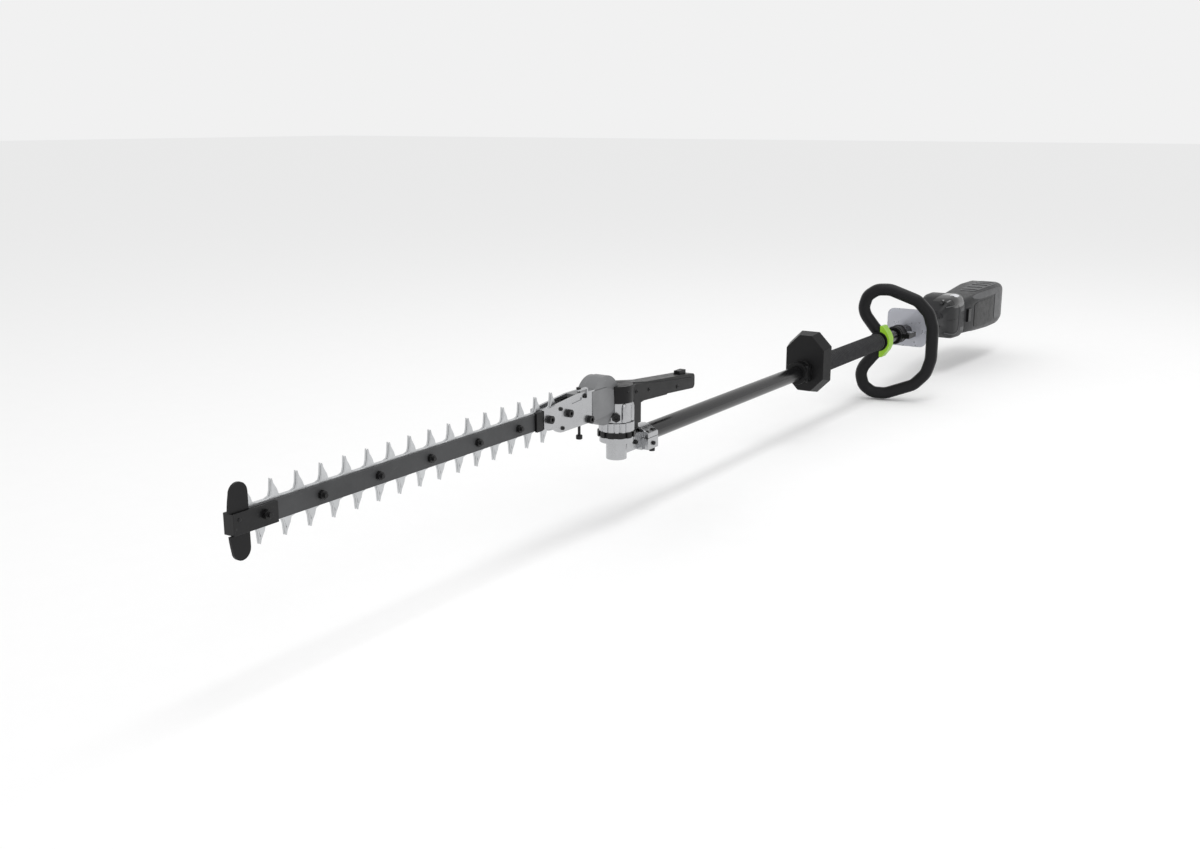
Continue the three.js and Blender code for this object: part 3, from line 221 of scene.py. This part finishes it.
def round_edges(piece, width):
    """Smooths a piece and rounds its sharp edges by a width in millimetres."""
    smooth = piece.modifiers.new("smooth", "NODES")
    smooth.node_group = SMOOTHING
    if width:
        bevel = piece.modifiers.new("rounded_edges", "BEVEL")
        bevel.width = width / 1000
        bevel.segments = 2
        bevel.limit_method = "ANGLE"
        bevel.angle_limit = SOFT_ANGLE
        bevel.harden_normals = True
    return piece


# ---------------------------------------------------------------- shapes


def piece(name, slot, body, points, faces, edge=0.4):
    """A mesh piece from points in millimetres, riding on a body."""
    mesh = bpy.data.meshes.new(name)
    mesh.from_pydata([place(point) for point in points], [], faces)
    mesh.validate()
    made = bpy.data.objects.new(name, mesh)
    bpy.context.scene.collection.objects.link(made)
    mesh.materials.append(FINISHES[slot])
    round_edges(made, edge)
    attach(made, body)
    return made


def loft(rings):
    """Points and faces of a closed skin over rings with the same count, capped at both ends."""
    count = len(rings[0])
    faces = []
    for ring in range(len(rings) - 1):
        for i in range(count):
            a = ring * count + i
            b = ring * count + (i + 1) % count
            faces.append((a, b, b + count, a + count))
    last = (len(rings) - 1) * count
    faces.append(tuple(reversed(range(count))))
    faces.append(tuple(range(last, last + count)))
    return [point for ring in rings for point in ring], faces


def along(axis, distance, u, v):
    """A point from its distance along an axis and its other two coordinates, in x, y, z order."""
    return {"x": (distance, u, v), "y": (u, distance, v), "z": (u, v, distance)}[axis]


def turned(name, slot, body, axis, centre, profile, sides=40, edge=0.3):
    """A turned piece: profile holds (distance along the axis, radius) pairs from one end to the other."""
    rings = []
    for distance, radius in profile:
        rings.append([along(axis, distance, centre[0] + radius * math.cos(2 * math.pi * i / sides),
                            centre[1] + radius * math.sin(2 * math.pi * i / sides)) for i in range(sides)])
    return piece(name, slot, body, *loft(rings), edge=edge)


def plate(name, slot, body, axis, low, high, outline, edge=0.4):
    """A flat piece: an outline across an axis, between two distances along it."""
    rings = [[along(axis, distance, u, v) for u, v in outline] for distance in (low, high)]
    return piece(name, slot, body, *loft(rings), edge=edge)


def swept(name, slot, body, path, section, edge=0.0):
    """A piece swept along a path: section holds (sideways, upward) offsets at every point."""
    rings = []
    points = [Vector(point) for point in path]
    up = Vector((0, 0, 1))
    for i, point in enumerate(points):
        forward = (points[min(i + 1, len(points) - 1)] - points[max(i - 1, 0)]).normalized()
        if i == 0 and abs(forward.dot(up)) > 0.9:
            up = Vector((1, 0, 0))
        side = forward.cross(up).normalized()
        up = side.cross(forward).normalized()
        rings.append([point + side * u + up * v for u, v in section])
    return piece(name, slot, body, *loft(rings), edge=edge)


def circle(radius, sides=12):
    return [(radius * math.cos(2 * math.pi * i / sides), radius * math.sin(2 * math.pi * i / sides))
            for i in range(sides)]


def oblong(u0, u1, v0, v1, radius, steps=5):
    """A rectangle with round corners."""
    points = []
    corners = [(u1 - radius, v1 - radius), (u0 + radius, v1 - radius),
               (u0 + radius, v0 + radius), (u1 - radius, v0 + radius)]
    for quarter, (u, v) in enumerate(corners):
        for i in range(steps + 1):
            angle = (quarter + i / steps) * math.pi / 2
            points.append((u + radius * math.cos(angle), v + radius * math.sin(angle)))
    return points


def spline(points, steps):
    """A centripetal Catmull-Rom curve through points, with a number of steps in each span."""
    knots = [Vector(p) for p in points]
    knots = [2 * knots[0] - knots[1], *knots, 2 * knots[-1] - knots[-2]]
    curve = []
    for a, b, c, d in zip(knots, knots[1:], knots[2:], knots[3:]):
        t1 = (b - a).length ** 0.5
        t2 = t1 + (c - b).length ** 0.5
        t3 = t2 + (d - c).length ** 0.5
        for i in range(steps):
            t = t1 + (t2 - t1) * i / steps
            ab = a.lerp(b, t / t1)
            bc = b.lerp(c, (t - t1) / (t2 - t1))
            cd = c.lerp(d, (t - t2) / (t3 - t2))
            abc = ab.lerp(bc, t / t2)
            bcd = bc.lerp(cd, (t - t1) / (t3 - t1))
            curve.append(abc.lerp(bcd, (t - t1) / (t2 - t1)))
    curve.append(knots[-2])
    return curve


def screw(name, body, axis, outward, seat, centre, radius=3.0, height=2.4):
    """A cap screw with a socket; seat is where its head stands, outward its direction, 1 or -1."""
    rim = seat + outward * height
    rings = [(seat, radius), (rim - outward * 0.4, radius), (rim, radius * 0.88), (rim, radius * 0.5),
             (rim - outward * height * 0.6, radius * 0.46)]
    return turned(name, "black_steel", body, axis, centre, rings, sides=24, edge=0)


# ---------------------------------------------------------------- finishes and edges of the CAD parts

SLOT_OF = {part["node"]: part["material_slot"] for part in frame["record"]["subparts"]}

EDGE_WIDTHS = {
    "near_blade": 0.5, "far_blade": 0.5, "guide_bar": 0, "tip_guard": 1.0, "tip_bracket": 0.5,
    "near_bracket": 0.8, "far_bracket": 0.8, "gearcase_body": 1.2, "gearcase_cover": 1.6,
    "head_column": 0.8, "collar_ring": 0.8, "index_ring": 0.7, "elbow": 1.4, "clamp_cap": 1.2,
    "adjust_handle_near": 2.2, "adjust_handle_far": 2.2, "release_lever": 1.2, "lock_button": 1.0,
    "hand_guard": 1.0, "loop_clamp": 1.2, "harness_ring": 1.2, "hip_plate": 1.2, "bar_end_block": 1.2,
    "housing_upper": 1.2, "housing_lower": 1.2, "battery": 1.6, "battery_latch": 1.0, "trigger": 1.2,
    "lock_off": 1.2, "battery_dock": 1.0,
}


def dress_cad_parts():
    for name, node in frame["nodes"].items():
        node.data.materials.clear()
        node.data.materials.append(FINISHES[SLOT_OF[name]])
        normals = node.data.attributes.get("custom_normal")
        if normals:
            node.data.attributes.remove(normals)
        round_edges(node, EDGE_WIDTHS.get(name, 0.3))


# ---------------------------------------------------------------- cutter head pieces


def head_pieces():
    plate_y = face_of("near_bracket", 1, 0)
    strap_y = face_of("tip_bracket", 1, 0)
    for number, (x, z) in enumerate([(-147, 54), (-151, 80), (-96, 87)], start=1):
        screw(f"bracket_screw_{number}", "head", "y", -1, plate_y + 0.1, (x, z), 2.6, 2.2)
    clip = [(-92, 84), (-92, 97), (-94, 99), (-116, 99), (-116, 96.6), (-95, 96.6), (-94.4, 96),
            (-94.4, 84)]
    plate("scabbard_clip", "cast_aluminium", "head", "y", -13.4, plate_y - 0.1, clip, edge=0.3)
    turned("clip_bolt", "black_steel", "head", "z", (-112, -11.8),
           [(95, 2.2), (96.4, 2.2), (96.4, 1.6), (99.2, 1.6), (99.2, 3.2), (101.6, 3.2), (102, 2.7)], 20)
    turned("hook_bolt", "black_steel", "head", "z", (-98, -3),
           [(28, 3.6), (28.6, 4.4), (33.4, 4.4), (34, 3.6), (34, 1.9), (50, 1.9)], 24)
    turned("tip_rivet", "black_steel", "head", "y", (-684, BLADE_Z + 3),
           [(strap_y + 0.2, 2.2), (strap_y - 0.7, 2.0), (strap_y - 1.0, 1.2)], 20)


GEARCASE_FACE = [(-62, 48.6), (-30, 51), (-23, 56), (-22.4, 70), (-24, 83), (-40, 89), (-77, 89.5), (-77, 49)]
CRANK_X = -42
COVER_SCREW_REACH = 28


def gearcase_pieces():
    near = face_of("gearcase_body", 1, 0)
    far = face_of("gearcase_cover", 1, 1)
    rim = face_of("gearcase_cover", 0, 0)
    plate("gearcase_face", "dark_casting", "head", "y", near - 1.9, near + 0.3, GEARCASE_FACE, edge=0.9)
    for number in range(6):
        angle = math.radians(30 + 60 * number)
        centre = (CRANK_X + COVER_SCREW_REACH * math.cos(angle), BLADE_Z + COVER_SCREW_REACH * math.sin(angle))
        screw(f"cover_screw_{number + 1}", "head", "y", 1, far - 1.6, centre, 2.4, 1.5)
    seam_radius = abs(rim - CRANK_X) - 0.2
    turned("cover_seam", "black_plastic", "head", "y", (CRANK_X, BLADE_Z),
           [(9.55, seam_radius), (9.95, seam_radius)], 56, 0)


COLUMN_TOP = 61.4
COLUMN_BOSS_REACH = 20.6
COLUMN_BOSS_DIRECTIONS = (242, 298, 20)


def column_pieces():
    for number, direction in enumerate(COLUMN_BOSS_DIRECTIONS, start=1):
        angle = math.radians(direction)
        centre = (COLUMN_BOSS_REACH * math.cos(angle), COLUMN_BOSS_REACH * math.sin(angle))
        turned(f"column_boss_{number}", "cast_aluminium", "head", "z", centre,
               [(35, 4.2), (COLUMN_TOP - 6, 4.2), (COLUMN_TOP - 2, 3.4), (COLUMN_TOP, 2.2)], 24, 0.5)


def handle_pieces():
    grip_near = -12
    path = [(-8, -22.3, 78), (8, -21.4, 81.5), (24, -14.6, 82.5), (40, -12.2, 80.6), (70, -12.1, 76),
            (110, -12.1, 71.5), (150, -12.1, 67.4), (192, -12.1, 63.2)]
    swept("handle_bead", "black_plastic", "head", spline(path, 6), circle(1.1, 10))
    for number, (x, z) in enumerate([(68, 67), (150, 57), (34, 70)], start=1):
        screw(f"handle_screw_{number}", "head", "y", -1, grip_near + 0.4, (x, z), 2.8, 1.4)
    for number in range(7):
        x = 84 + 10 * number
        z = 73.6 - 0.102 * (x - 84) + 2.4
        plate(f"grip_rib_{number + 1}", "black_plastic", "head", "x", x - 1.4, x + 1.4,
              oblong(-9, 9, z - 1.6, z + 0.5, 0.9), edge=0.3)
    turned("handle_cap_disc", "black_plastic", "head", "z", (0, 0),
           [(85.6, 17.5), (86.2, 17), (86.2, 9), (85.7, 8.4), (85.7, 0.5)], 48, 0.2)


# ---------------------------------------------------------------- elbow and shaft pieces


def elbow_pieces():
    screw("locating_screw", "frame", "y", -1, -10.2, (34, -3), 3.4, 3.0)
    screw("tube_lock_screw", "frame", "y", -1, -22.2, (64, -9), 3.0, 2.4)
    for number, x in enumerate((54, 74), start=1):
        turned(f"cap_screw_{number}", "black_steel", "frame", "z", (x, -17.6),
               [(6.6, 2.6), (9.6, 2.6), (10.2, 2.1), (10.2, 1.2), (9, 1.1)], 20, 0)
    plate("elbow_web", "cast_aluminium", "frame", "y", -2.2, 2.2,
          [(10, -14.2), (50, -14.2), (50, -16.4), (40, -16.9), (12, -18.6)], edge=0.6)


def guard_pieces():
    front = face_of("hand_guard", 0, 0)
    turned("guard_collar_rim", "black_plastic", "frame", "x", (0, 0),
           [(front + 0.2, 16), (front + 0.2, 19.8), (front + 2.2, 20.3), (front + 4.4, 19.6)], 48, 0.2)
    for number, z in enumerate((-8, 9), start=1):
        screw(f"guard_screw_{number}", "frame", "y", -1, -18.9, (front + 12, z), 3.0, 2.6)
    plate("guard_clamp_lug", "black_plastic", "frame", "y", -20.6, -15.6,
          oblong(front + 3, front + 20, -15, 15, 4), edge=0.8)


def grip_pieces():
    low = face_of("front_grip", 0, 0)
    high = face_of("front_grip", 0, 1)
    profile = [(low, 13.4), (low, 17.2), (low + 2, 17.45), (low + 8, 17.45), (low + 9, 16.4)]
    ridge = low + 14
    while ridge < high - 16:
        profile += [(ridge, 16.3), (ridge + 0.8, 17.1), (ridge + 3.2, 17.1), (ridge + 4.0, 16.3)]
        ridge += 6
    profile += [(high - 9, 16.4), (high - 8, 17.45), (high - 2, 17.45), (high, 17.2), (high, 13.4)]
    grip = turned("ribbed_grip", "soft_grip", "frame", "x", (0, 0), profile, 48, 0)
    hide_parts("front_grip")


LOOP_X = 1024
LOOP_TILT = math.radians(15)
LOOP_DROP = 3
LOOP_RADIUS = 12.9
LOOP_BEND = 8
LOOP_HALF = [(0, 12), (-15, 28), (-35, 54), (-39.5, 70), (-33, 93), (-14, 106.5), (12, 107.5), (68, 86.5),
             (91, 62), (100, 32)]


def in_loop(s, z):
    return (LOOP_X + s * math.sin(LOOP_TILT), -s * math.cos(LOOP_TILT), z - LOOP_DROP)


def bent_path(points, bend, steps):
    """Straight runs between points, with each corner rounded over a length in millimetres."""
    corners = [Vector(point) for point in points]
    path = [corners[0]]
    for before, corner, after in zip(corners, corners[1:], corners[2:]):
        start = corner + (before - corner) * min(0.45, bend / (before - corner).length)
        end = corner + (after - corner) * min(0.45, bend / (after - corner).length)
        for i in range(steps + 1):
            t = i / steps
            path.append(start.lerp(corner, t).lerp(corner.lerp(end, t), t))
    path.append(corners[-1])
    return path


def loop_pieces():
    mirrored = [(s, -z) for s, z in reversed(LOOP_HALF)]
    path = bent_path([in_loop(s, z) for s, z in LOOP_HALF + mirrored], LOOP_BEND, 5)
    section = []
    for i in range(32):
        angle = 2 * math.pi * i / 32
        radius = LOOP_RADIUS * (0.965 - 0.035 * math.cos(4 * angle + 0.6))
        section.append((radius * math.cos(angle), radius * math.sin(angle)))
    grip = swept("loop_grip", "loop_rubber", "frame", path, section)
    turned("loop_hub", "black_plastic", "frame", "x", (0, 0),
           [(LOOP_X - 22, 13.4), (LOOP_X - 22, 19.4), (LOOP_X - 20, 20), (LOOP_X + 12, 20),
            (LOOP_X + 14, 19.4), (LOOP_X + 14, 13.4)], 40, 0.4)
    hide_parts("loop_handle")
    clamp_x = (face_of("loop_clamp", 0, 0) + face_of("loop_clamp", 0, 1)) / 2
    for number, z in enumerate((-26, 26), start=1):
        screw(f"loop_screw_{number}", "frame", "y", -1, -7.8, (clamp_x, z), 3.2, 2.2)


def harness_pieces():
    low = face_of("harness_ring", 0, 0)
    for number, x in enumerate((low + 8, low + 30), start=1):
        turned(f"harness_band_{number}", "black_plastic", "frame", "x", (0, 0),
               [(x - 2, 17.8), (x - 1.6, 19.0), (x + 1.6, 19.0), (x + 2, 17.8)], 40, 0.2)
    turned("harness_hook_loop", "gear_steel", "frame", "z", (1124, -24.5),
           [(-5.4, 5.0), (-5.4, 7.4), (-5.0, 7.8), (5.0, 7.8), (5.4, 7.4), (5.4, 5.0)], 32, 0)
    screw("harness_screw", "frame", "z", 1, 4.9, (1101, -26), 2.8, 2.0)


# ---------------------------------------------------------------- rear housing and battery pieces

# Cross-sections: distance along the shaft, side range, height range and corner radius.
HOUSING_SECTIONS = [
    (1191, -18, 18, -17.2, 17.2, 12), (1196, -19.4, 19.6, -18.4, 18.4, 13), (1203, -22, 23, -20, 20, 14),
    (1330, -24, 26, -20, 20, 14), (1352, -30, 32, -32, 34, 14), (1368, -38, 40, -42, 46, 14),
    (1390, -41, 43, -46, 52, 16), (1424, -42, 44, -47, 52, 16), (1437, -41.4, 43.4, -44.6, 38, 16),
    (1440, -40.4, 42.4, -43, 33.5, 16),
]
BATTERY_SECTIONS = [
    (1440.5, -40, 42, -42.4, 33, 16), (1443, -41, 43, -43.2, 33.8, 16), (1520.3, -47, 41, -46, 41, 16),
    (1620.3, -50, 37, -50, 52, 16), (1690.3, -50, 35, -50, 52, 16), (1721, -46, 32, -47, 48, 17),
    (1731, -40, 26, -41, 42, 17), (1735, -34, 20, -35, 36, 15),
]


def section_at(sections, x):
    """The cross-section at a distance, between the two that are listed around it."""
    for before, after in zip(sections, sections[1:]):
        if x <= after[0]:
            t = (x - before[0]) / (after[0] - before[0])
            return [b + (a - b) * t for b, a in zip(before[1:], after[1:])]
    return list(sections[-1][1:])


def section_ring(x, section, steps=7):
    """The outline of a cross-section, as points."""
    y0, y1, z0, z1, radius = section
    return [(x, y, z) for y, z in oblong(y0, y1, z0, z1, radius, steps)]


def skin_point(section, reach, lift):
    """A point on the near side: reach runs up from the seam and over the top, and is negative below it."""
    y0, _, z0, z1, radius = section
    up = 1 if reach >= 0 else -1
    flat = (z1 if up > 0 else -z0) - radius
    over = abs(reach) - flat
    if over <= 0:
        return y0 - lift, reach
    if over <= radius * math.pi / 2:
        angle = over / radius
        out = radius + lift
        return (y0 + radius - out * math.cos(angle), up * (flat + out * math.sin(angle)))
    return y0 + radius + over - radius * math.pi / 2, up * (flat + radius + lift)


PATCH_COLUMNS = 10
PATCH_ROWS = 12
PATCH_ROOT = 1.4


def skin_patch(name, slot, body, sections, start, end, low, high, lift, taper=0.0, edge=0.4):
    """A raised panel that follows a lofted body between two distances and two reaches."""
    rings = []
    for i in range(PATCH_COLUMNS + 1):
        t = i / PATCH_COLUMNS
        x = start + (end - start) * t
        section = section_at(sections, x)
        inset = taper * abs(2 * t - 1) ** 6
        reaches = [low + inset + (high - low - 2 * inset) * j / PATCH_ROWS for j in range(PATCH_ROWS + 1)]
        outer = [(x, *skin_point(section, reach, lift)) for reach in reaches]
        inner = [(x, *skin_point(section, reach, -PATCH_ROOT)) for reach in reversed(reaches)]
        rings.append(outer + inner)
    return piece(name, slot, body, *loft(rings), edge=edge)


def skin_line(name, slot, body, sections, stations, radius=1.0):
    """A raised bead through (distance, reach) stations."""
    path = [(x, *skin_point(section_at(sections, x), reach, 0.2)) for x, reach in stations]
    return swept(name, slot, body, spline(path, 6), circle(radius, 10))


# Panels: name, finish, where each starts and ends along the shaft, its lowest and highest reach, how far
# it stands out and how much its ends narrow.
HOUSING_PANELS = [
    ("display_panel", "dark_gloss", 1360, 1428, 26, 84, 0.5, 6),
    ("display_window", "clear_grey", 1388, 1412, 50, 66, 0.7, 2),
    ("shoulder_panel", "battery_panel", 1408, 1432, -30, 22, 0.5, 4),
]
BATTERY_PANELS = [
    ("battery_side_panel", "black_plastic", 1500, 1636, -36, 24, 0.9, 5),
    ("battery_corner_panel", "battery_panel", 1644, 1716, -32, 32, 0.9, 5),
    ("battery_top_panel", "battery_panel", 1548, 1700, 52, 96, 0.8, 5),
    ("battery_bottom_panel", "battery_panel", 1520, 1700, -80, -46, 0.6, 5),
    ("battery_shoulder_panel", "battery_panel", 1500, 1700, 29, 44, 0.6, 5),
]
SHOULDER_RIDGE = [
    (1350, 30), (1368, 32), (1388, 31), (1398, 22), (1401, 0), (1398, -22), (1388, -31), (1368, -33),
    (1350, -30),
]
HOUSING_SEAM = [(1205, 0), (1330, 0), (1352, 0), (1368, 0), (1395, 0)]


def housing_pieces():
    rings = [section_ring(section[0], section[1:]) for section in HOUSING_SECTIONS]
    shell = piece("housing_shell", "housing_plastic", "frame", *loft(rings), edge=0)
    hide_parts("housing_upper", "housing_lower")
    for name, slot, start, end, low, high, lift, taper in HOUSING_PANELS:
        skin_patch(name, slot, "frame", HOUSING_SECTIONS, start, end, low, high, lift, taper=taper)
    skin_line("shoulder_ridge", "battery_panel", "frame", HOUSING_SECTIONS, SHOULDER_RIDGE, 1.3)
    skin_line("housing_seam", "black_plastic", "frame", HOUSING_SECTIONS, HOUSING_SEAM, 0.45)
    for number in range(6):
        x = 1410 + 4 * number
        skin_patch(f"air_slot_{number + 1}", "black_plastic", "frame", HOUSING_SECTIONS, x, x + 1.6,
                   -22, 14, 0.75, edge=0)
    for number in range(9):
        x = 1276 + 7 * number
        skin_patch(f"rear_grip_rib_{number + 1}", "soft_grip", "frame", HOUSING_SECTIONS, x, x + 3,
                   8, 44, 0.7, taper=2, edge=0.3)
    for number, (x, z) in enumerate([(1208, -9), (1318, -10), (1318, 10)], start=1):
        screw(f"housing_screw_{number}", "frame", "y", -1, -23.8, (x, z), 2.6, 0.9)


def battery_pieces():
    rings = [section_ring(section[0], section[1:]) for section in BATTERY_SECTIONS]
    shell = piece("battery_shell", "housing_plastic", "battery", *loft(rings), edge=0)
    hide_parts("battery")
    for name, slot, start, end, low, high, lift, taper in BATTERY_PANELS:
        skin_patch(name, slot, "battery", BATTERY_SECTIONS, start, end, low, high, lift, taper=taper, edge=0.5)
    for number in range(5):
        x = 1560 + 26 * number
        skin_patch(f"battery_rib_{number + 1}", "housing_plastic", "battery", BATTERY_SECTIONS, x, x + 2.4,
                   56, 92, 1.6, edge=0.3)
    for number in range(4):
        turned(f"charge_light_{number + 1}", "clear_grey", "battery", "x", (-20, -12 + 8 * number),
               [(1734.2, 1.6), (1735.0, 1.5), (1735.0, 0.3)], 16, 0)


# ---------------------------------------------------------------- floor, light and camera

CAMERA_PLACE = (-1470.1, -921.9, 443.5)
CAMERA_AZIMUTH = math.radians(-57.15)
CAMERA_ELEVATION = math.radians(13.47)
CAMERA_LENS = 38.4


FLOOR_HALF_SIZE = 30
FLOOR_HEIGHT = -0.0004
SURROUND_STRENGTH = 0.88


def add_floor():
    mesh = bpy.data.meshes.new("floor")
    signs = [(-1, -1), (1, -1), (1, 1), (-1, 1)]
    corners = [(u * FLOOR_HALF_SIZE, v * FLOOR_HALF_SIZE, FLOOR_HEIGHT) for u, v in signs]
    mesh.from_pydata(corners, [], [(0, 1, 2, 3)])
    floor = bpy.data.objects.new("floor", mesh)
    bpy.context.scene.collection.objects.link(floor)
    mesh.materials.append(FLOOR_FINISH)


def add_light(name, place_m, aim_m, size, power):
    """A soft rectangular light; place, aim and size are in metres of the shared frame."""
    data = bpy.data.lights.new(name, "AREA")
    data.shape = "RECTANGLE"
    data.size, data.size_y = size
    data.energy = power
    light = bpy.data.objects.new(name, data)
    bpy.context.scene.collection.objects.link(light)
    light.location = place_m
    light.rotation_euler = (Vector(aim_m) - Vector(place_m)).to_track_quat("-Z", "Y").to_euler()


def add_lights():
    world = bpy.data.worlds.new("studio")
    world.use_nodes = True
    world.node_tree.nodes["Background"].inputs["Color"].default_value = (1, 1, 1, 1)
    world.node_tree.nodes["Background"].inputs["Strength"].default_value = SURROUND_STRENGTH
    bpy.context.scene.world = world
    add_light("overhead", (0.0, -0.5, 2.4), (0, 0, 0), (3.0, 0.6), 17)
    add_light("key", (-2.6, -1.8, 1.7), (-0.5, 0, 0.15), (0.9, 0.9), 6)
    bpy.context.scene.view_settings.view_transform = "Standard"


def add_camera():
    data = bpy.data.cameras.new("camera")
    data.sensor_width = 36
    data.lens = CAMERA_LENS
    camera = bpy.data.objects.new("camera", data)
    bpy.context.scene.collection.objects.link(camera)
    sin_a, cos_a = math.sin(CAMERA_AZIMUTH), math.cos(CAMERA_AZIMUTH)
    sin_e, cos_e = math.sin(CAMERA_ELEVATION), math.cos(CAMERA_ELEVATION)
    back = Vector((sin_a * cos_e, -cos_a * cos_e, sin_e))
    right = Vector((cos_a, sin_a, 0))
    up = back.cross(right)
    turn = Matrix((right, up, back)).transposed().to_4x4()
    camera.matrix_world = Matrix.Translation(place(CAMERA_PLACE)) @ turn
    bpy.context.scene.camera = camera


# ---------------------------------------------------------------- the scene

add_camera()
add_floor()
add_lights()
dress_cad_parts()
head_pieces()
gearcase_pieces()
column_pieces()
handle_pieces()
elbow_pieces()
guard_pieces()
grip_pieces()
loop_pieces()
harness_pieces()
housing_pieces()
battery_pieces()
